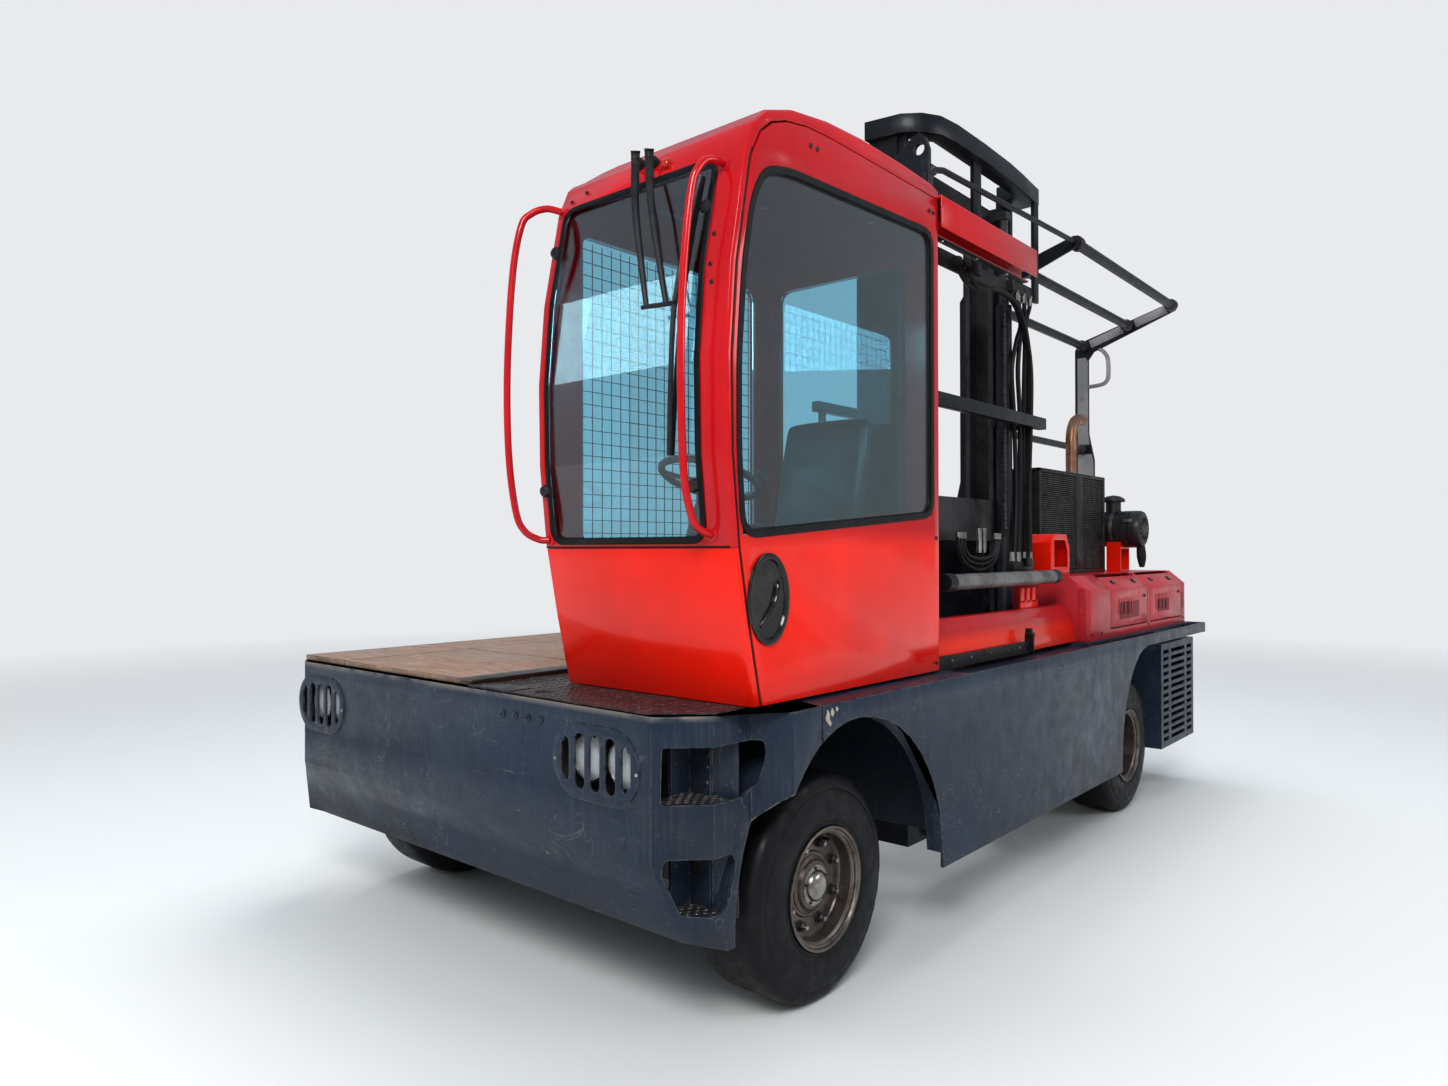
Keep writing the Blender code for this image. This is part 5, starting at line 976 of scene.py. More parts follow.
def band(width, thick):
    """Section of a rubber strip."""
    shape = ((-0.5, -0.2), (-0.5, 0.5), (-0.38, 1.0), (0.38, 1.0), (0.5, 0.5), (0.5, -0.2))
    return [(a * width, o * thick) for a, o in shape]


def windscreen_trim():
    """The black rubber round the windscreen."""
    line = refine(round_box((0.335, 1.625), (1.085, 2.865), 0.050, 6), 0.05)
    points = [on_front(x, z, 0.0005) for x, z in line]
    normals = [front_at(z)[1] for x, z in line]
    Form().sweep(points, normals, band(0.024, 0.0045), "rubber", True).done("windscreen_rubber")


DOOR_FACE_X = 1.21
DOOR_GLASS = [(-2.352, 1.640), (-1.130, 1.735), (-1.130, 2.90), (-2.10, 2.86), (-2.235, 2.83), (-2.300, 2.72),
              (-2.345, 2.50), (-2.372, 2.20), (-2.372, 1.90)]
HANDLE = Vector((DOOR_FACE_X, -2.226, 1.434))


def door_trim():
    """Rubber round the door glass, screws, and the black cup of the door handle."""
    line = refine(round_corners(DOOR_GLASS, 0.075, 7), 0.10)
    form = Form()
    for depth, edge, section in ((0.0005, line, band(0.026, 0.0042)),
                                 (0.009, inset(line, 0.008), band(0.018, 0.005))):
        points = [Vector((DOOR_FACE_X - depth, y, z)) for y, z in edge]
        form.sweep(points, [Vector(X)] * len(points), section, "rubber", True)
    # Handle cup: an oval ring, a deep bowl, a lever with a round lock
    cup = ((0.108, 0.150, 0.0005), (0.107, 0.149, 0.0070), (0.100, 0.141, 0.0090), (0.090, 0.130, 0.0070),
           (0.086, 0.126, 0.0010), (0.080, 0.119, -0.0120), (0.066, 0.103, -0.0148), (0.030, 0.050, -0.0150))
    form.rings([[HANDLE + Vector((out, a * cos(2 * pi * s / 48),
                                  b * sin(2 * pi * s / 48))) for s in range(48)]
                for a, b, out in cup], "gloss_black")
    lever = ((-0.013, 0.052, 0.052), (0.002, 0.046, 0.040), (0.005, 0.030, -0.010), (0.004, -0.010, -0.055),
             (-0.004, -0.040, -0.085))
    form.tube([HANDLE + Vector(point) for point in lever], lambda t: 0.014 - 0.004 * t, "gloss_black", 12,
              flat=0.8)
    form.lathe([(0, 0.020), (0.009, 0.020), (0.012, 0.017), (0.012, 0)],
               HANDLE + Vector((-0.0148, 0.018, 0.062)), X, "gloss_black", 20)
    form.lathe([(0, 0.010), (0.003, 0.010), (0.003, 0)], HANDLE + Vector((-0.0030, 0.018, 0.062)), X,
               "bright_steel", 20)
    for y, z in ((-1.985, 2.985), (-1.945, 2.985), (-1.150, 2.985), (-1.115, 2.985), (-1.10, 1.125),
                 (-1.10, 1.64)):
        form.button((DOOR_FACE_X - 0.0003, y, z), X, 0.0085)
    form.done("door_trim", "door", sharp=32)


# Wipers: pivots and elbows of the arms, and the blade, all as x, z
PIVOTS = [(0.700, 2.955), (0.775, 2.940)]
ELBOWS = [(0.895, 2.385), (0.985, 2.378)]
BLADE = [(1.052, 2.80), (1.036, 2.58), (1.020, 2.36), (1.004, 2.10), (0.985, 1.90)]


def wipers():
    """Parallel wiper arms from their covered pivots, with the blade between their ends."""
    form = Form()
    for pivot, elbow in zip(PIVOTS, ELBOWS):
        base, out = on_front(*pivot), front_at(pivot[1])[1]
        form.lathe([(0, 0.020), (0.018, 0.019), (0.030, 0.015), (0.046, 0.013), (0.050, 0.009), (0.050, 0)],
                   base, out, "black_steel", 20)
        start, end = base + out * 0.036, on_front(*elbow, 0.052)
        bend = start.lerp(end, 0.35) + out * 0.020
        form.tube([start + Vector((0, 0, 0.03)), start, bend, start.lerp(end, 0.7) + out * 0.012, end],
                  lambda t: 0.0175 - 0.0085 * t, "black_steel", 10, 6, flat=0.4)
    one, two = (on_front(*elbow, 0.052) for elbow in ELBOWS)
    form.tube([one - Vector((0.02, 0, 0)), one, two, two + Vector((0.045, 0, 0))], 0.008, "black_steel", 8, 4)
    form.tube([on_front(x, z, 0.016) for x, z in BLADE], 0.0085, "rubber", 8, 6, flat=1.4)
    form.tube([on_front(x, z, 0.028 + 0.022 * (1 - abs(k - 2) / 2)) for k, (x, z) in enumerate(BLADE)],
              0.0085, "black_steel", 8, 6, flat=0.7)
    form.done("wipers", sharp=40)


def cab_fittings():
    """Marker lamp, window knobs, roof bolts and the seam gaskets of the door and the windscreen."""
    form = Form()
    form.lathe([(0, 0.020), (0.006, 0.020), (0.018, 0.017), (0.024, 0.009), (0.025, 0)],
               on_front(0.842, 2.915), front_at(2.915)[1], "red_lens", 24)
    for x, z in ((0.318, 2.705), (0.318, 1.812), (1.060, 1.800), (1.072, 2.700)):
        form.lathe([(0, 0.024), (0.010, 0.023), (0.018, 0.018), (0.021, 0.008), (0.021, 0)], on_front(x, z),
                   front_at(z)[1], "plastic", 20)
    for x, z in ((0.345, 2.905), (0.42, 2.925), (1.12, 2.60), (1.12, 2.50), (1.13, 2.44)):
        form.button(on_front(x, z), front_at(z)[1], 0.0075)
    form.done("cab_fittings")
    heights = [1.10 + (2.88 - 1.10) * step / 40 for step in range(41)]
    form = Form().sweep([on_front(1.2045, z) + Vector((0, 0.0255, 0)) for z in heights], [Vector(X)] * 41,
                        band(0.007, 0.003), "rubber")
    form.sweep([on_front(0.292 + (1.19 - 0.292) * step / 12, 1.603) for step in range(13)],
               [front_at(1.603)[1]] * 13, band(0.006, 0.002), "rubber")
    form.done("cab_gaskets")


RAIL_ROUTES = {
    "left": [(0.316, -2.345, 2.868), (0.290, -2.395, 2.872), (0.262, -2.445, 2.845), (0.245, -2.478, 2.790),
             (0.226, -2.502, 2.60), (0.217, -2.518, 2.25), (0.224, -2.517, 1.95), (0.243, -2.500, 1.74),
             (0.262, -2.475, 1.665), (0.290, -2.430, 1.633), (0.316, -2.402, 1.630)],
    "right": [(1.124, -2.352, 2.835), (1.121, -2.415, 2.828), (1.114, -2.455, 2.790), (1.104, -2.478, 2.715),
              (1.091, -2.500, 2.45), (1.090, -2.510, 2.15), (1.091, -2.500, 1.85), (1.099, -2.480, 1.72),
              (1.108, -2.455, 1.665), (1.120, -2.402, 1.640)]}


def grab_rail(side):
    """A bent handrail with round feet."""
    route = RAIL_ROUTES[side]
    form = Form().tube(route, 0.0128, "crimson", 14, 6)
    for x, y, z in (route[0], route[-1]):
        form.lathe([(0, 0.0), (0.0, 0.022), (0.003, 0.021), (0.006, 0.014), (0.006, 0.0)], on_front(x, z),
                   front_at(z)[1], "crimson", 24)
    form.done("handrail_" + side, stands_for=("grab_rail_" + side,), sharp=40)


# Deck sheet: low x, high x, low y, high y, lift of its top
SHEETS = {"front": [(-1.298, -0.935, -2.548, -1.034, 0.0), (-0.931, 0.033, -2.548, -1.90, -0.001),
                    (-0.931, 0.033, -1.896, -1.034, 0.0)],
          "rear": [(-1.298, -0.60, 0.592, 2.508, 0.0), (-0.596, 0.408, 0.592, 1.55, -0.001),
                   (-0.596, 0.408, 1.554, 2.508, 0.0)]}


def decks():
    """Worn plywood sheets with softened edges, a dark crack between them and a screw in each."""
    for name, sheets in SHEETS.items():
        form = Form()
        for x0, x1, y0, y1, lift in sheets:
            form.block((x0, y0, 1.0803), (x1, y1, 1.1043 + lift), "wood", 0.0035)
        for x0, x1, y0, y1, lift in sheets:
            form.lathe([(0, 0.0), (0.0, 0.009), (0.0012, 0.008), (0.0012, 0.0)],
                       (x0 + 0.05, y0 + 0.05, 1.1032), Z, "worn_steel", 12)
        form.done("boards_" + name, stands_for=(name + "_deck_wood",))


CHEQUER_TOP = 1.0857
CHEQUER_PITCH = 0.028


def lozenge(form, x, y, turn):
    """One raised bar of a chequer plate."""
    base = [(-0.0125, 0), (0, -0.0040), (0.0125, 0), (0, 0.0040)]
    ring = [(a * cos(turn) - b * sin(turn), a * sin(turn) + b * cos(turn)) for a, b in base]
    low = [form.bm.verts.new((x + a, y + b, CHEQUER_TOP)) for a, b in ring]
    top = [form.bm.verts.new((x + a * 0.55, y + b * 0.55, CHEQUER_TOP + 0.0016)) for a, b in ring]
    for index in range(4):
        after = (index + 1) % 4
        form.face((low[index], low[after], top[after], top[index]), "chequer")
    form.face(top, "chequer")
    form.face(low[::-1], "chequer")


def chequer_plate():
    """The walk plate in front of the cab, with raised bars, and the plates over the rails."""
    line = [(0.0405, -2.5695), (0.985, -2.5695), (1.1545, -2.425), (1.1545, -1.0305), (0.0405, -1.0305)]
    form = Form().slab(line, (0, 0, 1.0803), X, Y, 0.0055, "chequer", (), 0.001)
    for row, y in enumerate(spaced(-2.555, -1.05, CHEQUER_PITCH * 0.5)):
        for column, x in enumerate(spaced(0.055 + (row % 2) * CHEQUER_PITCH / 2, 1.14, CHEQUER_PITCH)):
            clear = x < 0.98 or (x - 0.98) * 0.85 < (y + 2.56)
            if (y < -2.30 or x < 0.275) and clear:
                lozenge(form, x, y, pi / 4 if (row + column) % 2 else -pi / 4)
    form.block((-0.030, -2.568, 1.1005), (0.062, -1.035, 1.1055), "worn_steel", 0.0015)
    form.block((0.036, -2.569, CHEQUER_TOP), (0.300, -2.470, 1.0895), "worn_steel", 0.0012)
    # Painted shade: a dark disc for the shade inside a round hole in the plate
    form.puck((0.40, -2.500, 1.0860), Z, 0.030, 0.0012, "void", 24)
    for x, y in ((0.09, -2.53), (0.50, -2.53), (0.92, -2.53), (0.09, -1.80)):
        form.button((x, y, CHEQUER_TOP), Z, 0.009, "worn_steel")
    form.done("chequer_plate", stands_for=("floor_plate",))


# Steps: top of the tread, its front edge just inside the plate
TREADS = [(0.8080, [(1.000, -2.582), (1.034, -2.582), (1.168, -2.450)]),
          (0.4480, [(1.010, -2.496), (1.036, -2.494), (1.166, -2.418)])]
# Plan of the front plate: x, y at the top, y at the foot, z of the foot
FRONT_PLAN = [(-1.32, -1.02, -1.02, 0.391), (-1.32, -2.47, -2.47, 0.391), (-1.295, -2.555, -2.53, 0.381),
              (-1.22, -2.59, -2.50, 0.371), (1.037, -2.59, -2.451, 0.347), (1.175, -2.453, -2.393, 0.341),
              (1.185, -2.285, -2.245, 0.341), (1.318, -2.228, -2.208, 0.341), (1.318, -2.078, -2.058, 0.341)]
KNEE_Z = 0.62
DECK_Z = 1.08
PLATE = 0.012
CORNER_START = 4
# Openings of the steps: distance round the plate from its first crease, height
STEP_HOLES = [[(0.030, 0.8080), (0.325, 0.8080), (0.384, 0.845), (0.412, 0.940), (0.406, 0.984),
               (0.034, 0.984)],
              [(0.038, 0.4480), (0.150, 0.4480), (0.232, 0.480), (0.292, 0.608), (0.274, 0.640),
               (0.044, 0.640), (0.022, 0.590)]]
# Front wheel arch: reach to the front, to the rear, and height above the axle
ARCH_AHEAD, ARCH_BEHIND, ARCH_HIGH = 0.482, 0.62, 0.616


def arch_line(grow, start, end, steps):
    """Half ellipses of the front wheel arch: y and z."""
    result = []
    for step in range(steps + 1):
        angle = radians(start + (end - start) * step / steps)
        across = ARCH_AHEAD if cos(angle) < 0 else ARCH_BEHIND
        y = WHEEL_YS["front"] + (across + grow) * cos(angle)
        result.append((y, AXLE_Z + (ARCH_HIGH + grow) * sin(angle)))
    return result


def arch_band(inner, outer, *span):
    """The strip between two arch lines."""
    return arch_line(inner, *span) + arch_line(outer, *span)[::-1]


def prism(line, axis, low, high):
    """An outline in the two other axes, closed between two places along an axis."""
    bm = bmesh.new()
    rings = []
    for reach in (low, high):
        places = [[*point[:axis], reach, *point[axis:]] for point in line]
        rings.append([bm.verts.new(place) for place in places])
    bridge(bm, rings)
    return bm


def bridge(bm, rings):
    """Skins rings of corners and closes both ends."""
    for lower, upper in zip(rings, rings[1:]):
        for index in range(len(lower)):
            after = (index + 1) % len(lower)
            bm.faces.new((lower[index], lower[after], upper[after], upper[index]))
    bm.faces.new(rings[0][::-1])
    bm.faces.new(rings[-1])
    bmesh.ops.recalc_face_normals(bm, faces=bm.faces)


def cut_out(base, cutters):
    """The base with the cutters taken away."""
    items = [new_item("work_%d" % number, bm) for number, bm in enumerate([base, *cutters])]
    for other in items[1:]:
        change = items[0].modifiers.new("cut", "BOOLEAN")
        change.operation = "DIFFERENCE"
        change.solver = "MANIFOLD"
        change.object = other
    graph = bpy.context.evaluated_depsgraph_get()
    graph.update()
    result = bmesh.new()
    result.from_mesh(items[0].evaluated_get(graph).to_mesh())
    for item in items:
        mesh = item.data
        bpy.data.objects.remove(item, do_unlink=True)
        bpy.data.meshes.remove(mesh)
    bmesh.ops.remove_doubles(result, verts=result.verts, dist=1e-5)
    return result


def corner_runs():
    """The columns of the bent corner and the runs between them, in plan."""
    columns = FRONT_PLAN[CORNER_START:]
    return columns, [Vector((b[0] - a[0], b[1] - a[1])) for a, b in zip(columns, columns[1:])]


def corner_point(distance, z, lift):
    """A point on the bent corner of the front plate, moved out by a lift; a crease lifts along its mitre."""
    columns, runs = corner_runs()
    outs = [Vector((run.y, -run.x, 0)).normalized() for run in runs]
    index, start = 0, 0.0
    while index < len(runs) - 1 and distance > start + runs[index].length + 1e-6:
        start += runs[index].length
        index += 1
    out = outs[index]
    if index < len(runs) - 1 and abs(distance - start - runs[index].length) < 1e-5:
        after = outs[index + 1]
        out = (out + after) / (1 + out.dot(after))
    ends = []
    for x, top_y, foot_y, foot_z in columns[index:index + 2]:
        drop = max(0.0, (KNEE_Z - z) / (KNEE_Z - foot_z))
        ends.append(Vector((x, top_y + (foot_y - top_y) * drop, z)))
    return ends[0].lerp(ends[1], (distance - start) / runs[index].length) + out * lift


def hole_cutter(line):
    """A cutter through the bent corner, from an outline of distance and height with rounded corners."""
    creases = [run.length for run in corner_runs()[1]]
    creases = [creases[0], creases[0] + creases[1]]
    soft = round_corners(line, 0.012, 4)
    first, last = min(point[0] for point in soft), max(point[0] for point in soft)
    stops = [first]
    for at in sorted([point[0] for point in soft] + creases):
        clear = at in creases or min(abs(at - crease) for crease in creases) > 0.009
        if clear and first < at < last and at - stops[-1] > 0.0008:
            stops.append(at)
    stops.append(last)
    bm = bmesh.new()
    rings = []
    for distance in stops:
        here = min(max(distance, first + 0.0004), last - 0.0004)
        levels = []
        for (a, c), (b, d) in zip(soft, soft[1:] + soft[:1]):
            if (a - here) * (b - here) <= 0 and abs(a - b) > 1e-9:
                levels.append(c + (d - c) * (here - a) / (b - a))
        foot, head = min(levels), max(levels)
        rings.append([bm.verts.new(corner_point(distance, z, lift))
                      for z, lift in ((foot, 0.010), (head, 0.010), (head, -0.018), (foot, -0.018))])
    bridge(bm, rings)
    return bm


def plate_sheet():
    """The bent plate without its openings."""
    plan = []
    for number, (one, two) in enumerate(zip(FRONT_PLAN, FRONT_PLAN[1:])):
        steps = 5 if number >= CORNER_START else 1
        plan += [[a + (b - a) * step / steps for a, b in zip(one, two)] for step in range(steps)]
    plan.append(FRONT_PLAN[-1])
    bm = bmesh.new()
    grid = []
    for x, top, foot, foot_z in plan:
        column = [bm.verts.new((x, top, DECK_Z))]
        column += [bm.verts.new((x, top + (foot - top) * drop / 6, KNEE_Z + (foot_z - KNEE_Z) * drop / 6))
                   for drop in range(7)]
        grid.append(column)
    for left, right in zip(grid, grid[1:]):
        for row in range(7):
            bm.faces.new((left[row], left[row + 1], right[row + 1], right[row]))
    bm.normal_update()
    inward = {vert: bm.verts.new(vert.co - vert.normal * PLATE) for vert in bm.verts[:]}
    rim = [edge for edge in bm.edges if edge.is_boundary]
    for face in bm.faces[:]:
        bm.faces.new([inward[vert] for vert in reversed(face.verts)])
    for edge in rim:
        one, two = edge.link_loops[0].vert, edge.link_loops[0].link_loop_next.vert
        bm.faces.new((two, one, inward[one], inward[two]))
    bmesh.ops.recalc_face_normals(bm, faces=bm.faces)
    return bm


def front_plate():
    """The bent front plate with rounded edges, its arch lips, and both steps with their treads and walls."""
    arch = arch_line(0.0, 180, 0, 32)
    arch = [(arch[0][0], 0.2), *arch, (arch[-1][0], 0.2)]
    cutters = [prism(arch, 0, -1.37, -1.27), prism(arch, 0, 1.0, 1.37)]
    for x in LAMP_XS.values():
        cutters.append(prism([(x + a, LAMP_Z + b) for a, b in stadium((0.210, 0.126), 10)], 1, -2.64, -2.54))
    cutters += [hole_cutter(line) for line in STEP_HOLES]
    bm = cut_out(plate_sheet(), cutters)
    flat_dissolve(bm, 0.03)
    top = [edge for edge in sharp_edges(bm, 0.9)
           if all(abs(vert.co.z - DECK_Z) < 1e-4 for vert in edge.verts)
           and all(vert.co.y < -2.2 or abs(vert.co.x) > 1.3 for vert in edge.verts)]
    soften(bm, top, 0.008, 3)
    soften(bm, sharp_edges(bm, radians(50)), 0.0016)
    form = Form(bm, "chassis")
    # Lips of the arch on both sides, and its liner, seen through the steps
    for strip, low_x, high_x in ((arch_band(-0.003, 0.009, 180, 0, 32), -1.318, -1.25),
                                 (arch_band(-0.003, 0.009, 176, 128, 10), 1.105, 1.172),
                                 (arch_band(0.010, 0.014, 172, 112, 14), 1.008, 1.176)):
        form.add(prism(strip, 0, low_x, high_x), "chassis")
    form.block((1.000, -2.384, 0.40), (1.098, -2.3725, 1.03), "chassis", 0.002)
    form.block((0.996, -2.47, 0.40), (1.008, -2.372, 1.03), "chassis")
    form.slab([(0.0, 0.0), (0.086, 0.0), (0.086, 0.61), (0.0, 0.61)], (1.094, -2.3725, 0.42),
              (0.78, 0.62, 0), Z, 0.004, "chassis", (), 0.001)
    # Painted shade: dark discs for the shade inside two round holes in the back wall of the steps
    form.puck((1.068, -2.3845, 0.955), AHEAD, 0.024, 0.001, "void", 20)
    form.puck((1.030, -2.3845, 0.575), AHEAD, 0.030, 0.001, "void", 20)
    for z in (0.90, 0.85):
        form.button((1.085, -2.3845, z), AHEAD, 0.005, "worn_steel")
    for z, nose in TREADS:
        outline = nose + [(1.162, -2.372), (1.162, -2.365), (1.000, -2.365), (1.000, nose[0][1])]
        form.slab(outline, (0, 0, z - 0.0055), X, Y, 0.0055, "tread", (), 0.001)
    form.done("front_plate", stands_for=("front_panel",), sharp=32)


def step_grips():
    """Oval holes with pressed-up lips on both treads; each hole is a dark disc of painted shade."""
    form = Form()
    for z, ((x0, y0), (x1, y1), (x2, y2)) in TREADS:
        for row, depth in enumerate(spaced(2.388, 2.58, 0.0235)):
            for x in spaced(1.020 + 0.016 * (row % 2), 1.150, 0.032):
                edge = y0 if x < x1 else y1 + (y2 - y1) * (x - x1) / (x2 - x1)
                if -depth > edge + 0.016:
                    form.lathe([(-0.0005, 0.0118), (0.0020, 0.0098), (0.0022, 0.0085), (0.0008, 0.0080)],
                               (x, -depth, z), Z, "tread", 14)
                    # Painted shade: the hole inside the lip is a dark disc
                    form.puck((x, -depth, z), Z, 0.0084, 0.0006, "void", 14, 0.0003)
    form.done("step_grips")


# Hatch: its ends along y, first slot after its start, count and height of the slots
HATCHES = {"front": (1.016, 1.684, 0.16, 17, 0.105), "rear": (1.736, 2.429, 0.17, 12, 0.085)}
HOOD_X = 1.205


def hood_trim():
    """Slots, latches and screws of the hatches, and the pierced patch behind them; the slots, the latch
    recesses and the holes are dark shapes of painted shade.
    """
    lean = Vector((0.62, 0, 0.78)).normalized()
    up = lean.cross(Vector(Y))
    for name, (start, end, first, count, tall) in HATCHES.items():
        form = Form()
        for number in range(count):
            # Painted shade: each slot is a thin dark slab on the hatch
            form.slab(stadium((0.0052, tall / 2), 4),
                      (HOOD_X - 0.0009, start + first + number * 0.0215, 1.225), Y, Z,
                      0.0013, "void", (), 0.0004)
        for share in (0.24, 0.80):
            place = Vector((1.1585, start + (end - start) * share, 1.3915))
            form.slab(stadium((0.034, 0.019), 6), place - lean * 0.002, Y, up, 0.006, "plastic", (), 0.0012)
            # Painted shade: a dark slab for the recess of the latch
            form.slab(stadium((0.020, 0.010), 6), place + lean * 0.003, Y, up, 0.003, "void")
            form.lathe([(0, 0), (0, 0.0065), (0.004, 0.0055), (0.004, 0)],
                       place + lean * 0.0055 + Vector((0, 0.004, 0)), lean, "bright_steel", 12)
        form.button((HOOD_X - 0.0005, end - 0.055, 1.30), X, 0.010, "plastic")
        form.done("hatch_trim_" + name, "hatch_" + name)
    form = Form()
    form.block((1.1505, 0.6315, 1.0815), (1.2025, 0.6400, 1.372), "hood_red", 0.0015)
    # Painted shade: each hole of the pierced patch is a dark disc
    for row in range(9):
        for column in range(5):
            form.lathe([(0.0, 0.0042), (0.0008, 0.0042), (0.0008, 0.0), (0, 0)],
                       (HOOD_X - 0.0006, 2.443 + column * 0.0125, 1.19 + row * 0.0125), X, "void", 6)
    for y in (1.71, 0.70, 0.86, 2.47):
        form.button((HOOD_X - 0.0005, y, 1.115), X, 0.0075)
    form.done("hood_trim")


# Cooler behind its pierced guard: low and high corner, and the width of its frame
COOLER_LOW = (0.47, 0.85, 1.4403)
COOLER_HIGH = (0.85, 1.96, 2.08)
BAR = 0.022


def cooler():
    """A folded frame with fine rods over dark fins, and a cap on top."""
    form = Form()
    (x0, y0, z0), (x1, y1, z1) = COOLER_LOW, COOLER_HIGH
    form.block((x0 + 0.015, y0 + 0.015, z0 + 0.002), (x1 - 0.015, y1 - 0.015, z1 - 0.010), "fins")
    frame_bars = [((x, y, z0), (x + BAR, y + BAR, z1)) for x in (x0, x1 - BAR) for y in (y0, y1 - BAR)]
    for z in (z0, z1 - BAR):
        frame_bars += [((x0, y0, z), (x1, y0 + BAR, z + BAR)), ((x0, y1 - BAR, z), (x1, y1, z + BAR)),
                       ((x0, y0, z), (x0 + BAR, y1, z + BAR)), ((x1 - BAR, y0, z), (x1, y1, z + BAR))]
    frame_bars.append(((x1 - 0.020, 1.445, z0), (x1 - 0.001, 1.555, z1)))
    for low, high in frame_bars:
        form.block(low, high, "black_steel", 0.003)
    for z in spaced(z0 + 0.030, z1 - 0.026, 0.0125):
        for xa, ya, xb, yb in ((x1 - 0.010, y0 + 0.010, x1 - 0.004, y1 - 0.010),
                               (x0 + 0.010, y0 + 0.004, x1 - 0.010, y0 + 0.010),
                               (x0 + 0.004, y0 + 0.010, x0 + 0.010, y1 - 0.010),
                               (x0 + 0.010, y1 - 0.010, x1 - 0.010, y1 - 0.004)):
            form.block((xa, ya, z), (xb, yb, z + 0.0045), "mesh_steel")
    for y in spaced(y0 + 0.03, y1 - 0.03, 0.030):
        form.block((x1 - 0.012, y, z0 + 0.02), (x1 - 0.0075, y + 0.003, z1 - 0.02), "mesh_steel")
    form.slab([(x0 + 0.01, y0 + 0.01), (x1 - 0.01, y0 + 0.01), (x1 - 0.01, y1 - 0.01),
               (x0 + 0.01, y1 - 0.01)],
              (0, 0, z1 - 0.006), X, Y, 0.005, "black_steel")
    for x, y in ((x0 + 0.03, y0 + 0.03), (x1 - 0.03, y0 + 0.03), (x0 + 0.03, y1 - 0.03),
                 (x1 - 0.03, y1 - 0.03)):
        form.bolt((x, y, z1 - 0.001), Z, 0.002)
    form.done("cooler", stands_for=("cooler_guard",), sharp=30)


COVER_Z = 1.4403


def exhaust():
    """A bent tail pipe, open at its mouth, on a clamped foot."""
    x, y, r = 0.79, 1.51, 0.0345
    route = ((0, COVER_Z), (0, 1.80), (0, 2.20), (0, 2.300), (0.012, 2.360), (0.045, 2.412), (0.095, 2.443),
             (0.155, 2.4505), (0.218, 2.4505))
    path = curve_through([(x, y + back, z) for back, z in route], 6)
    outer, inner = [], []
    for index, point in enumerate(path):
        before, after = path[max(index - 1, 0)], path[min(index + 1, len(path) - 1)]
        up = (after - before).normalized().cross(Vector(X))
        swell = r * (1.03 if 1.78 < point.z < 1.84 else 1.0)
        outer.append([point + circle(s, 28, X, up) * swell for s in range(28)])
        inner.append([point + circle(s, 28, X, up) * (r - 0.003) for s in range(28)])
    form = Form().rings(outer + inner[::-1], "exhaust", closed=True)
    form.lathe([(0, r + 0.001), (0, r + 0.006), (0.018, r + 0.006), (0.018, r + 0.001)], (x, y, 2.02), Z,
               "worn_steel", 28)
    form.block((x + r + 0.002, y - 0.010, 2.024), (x + r + 0.018, y + 0.010, 2.034), "worn_steel", 0.001)
    form.lathe([(0, 0.0), (0, 0.052), (0.006, 0.052), (0.010, 0.040), (0.030, 0.0375), (0.030, 0.0)],
               (x, y, COVER_Z), Z, "black_steel", 28)
    form.done("tail_pipe", stands_for=("exhaust_pipe",), sharp=40)


def air_filter():
    """The round filter housing with ribs, clips, its cover's dust valve and the rain cap on its inlet."""
    centre = Vector((0.752, 2.12, 1.73))
    r = 0.1245
    body = [(0.0, 0.0), (0.0, 0.088), (0.006, 0.096), (0.03, 0.100), (0.05, 0.1215), (0.075, r), (0.16, r),
            (0.163, 0.1190), (0.175, 0.1190), (0.178, r), (0.225, r), (0.228, 0.1165), (0.233, 0.1165),
            (0.236, r),
            (0.262, r), (0.285, 0.1225), (0.300, 0.1150), (0.306, 0.100), (0.302, 0.090), (0.306, 0.080),
            (0.310, 0.050), (0.3105, 0.0)]
    form = Form().lathe(body, centre, X, "plastic", 56)
    # Ribs of the cover and clips: angles, distance along, radius, low and high corner, look, softening
    kinds = (([2 * pi * step / 12 for step in range(12)], 0.31, 0.062, (-0.003, -0.0025, -0.018),
              (0.0035, 0.0025, 0.018), "plastic", 0.001),
             ((0.6, 2.7, 4.8), 0.232, r, (-0.028, -0.010, -0.003), (0.028, 0.010, 0.006), "bright_steel",
              0.0015))
    for angles, reach, radius, low, high, key, edge in kinds:
        for angle in angles:
            at = centre + Vector((reach, cos(angle) * radius, sin(angle) * radius))
            form.block(at + Vector(low), at + Vector(high), key, edge,
                       Matrix.Rotation(angle - pi / 2, 3, "X"))
    # Strap of the bracket
    form.lathe([(0, r + 0.0005), (0, r + 0.0035), (0.022, r + 0.0035), (0.022, r + 0.0005)],
               centre + Vector((0.108, 0, 0)), X, "worn_steel", 56)
    # Dust valve below the cover and the capped inlet above
    valve = ((0.278, 0.01, -0.10), (0.282, 0.012, -0.17), (0.284, 0.014, -0.215), (0.285, 0.014, -0.262))
    form.tube([centre + Vector(point) for point in valve], lambda t: 0.026 - 0.010 * t + 0.010 * sin(pi * t),
              "rubber", 20, 6, flat=0.75)
    form.puck(centre + Vector((0.10, 0, 0.105)), Z, 0.050, 0.085, "plastic", 28)
    form.lathe([(0.0, 0.0), (0.0, 0.074), (0.010, 0.078), (0.022, 0.074), (0.040, 0.045), (0.048, 0.0)],
               centre + Vector((0.10, 0, 0.188)), Z, "plastic", 32)
    form.done("air_filter", stands_for=("air_cleaner",), sharp=34)


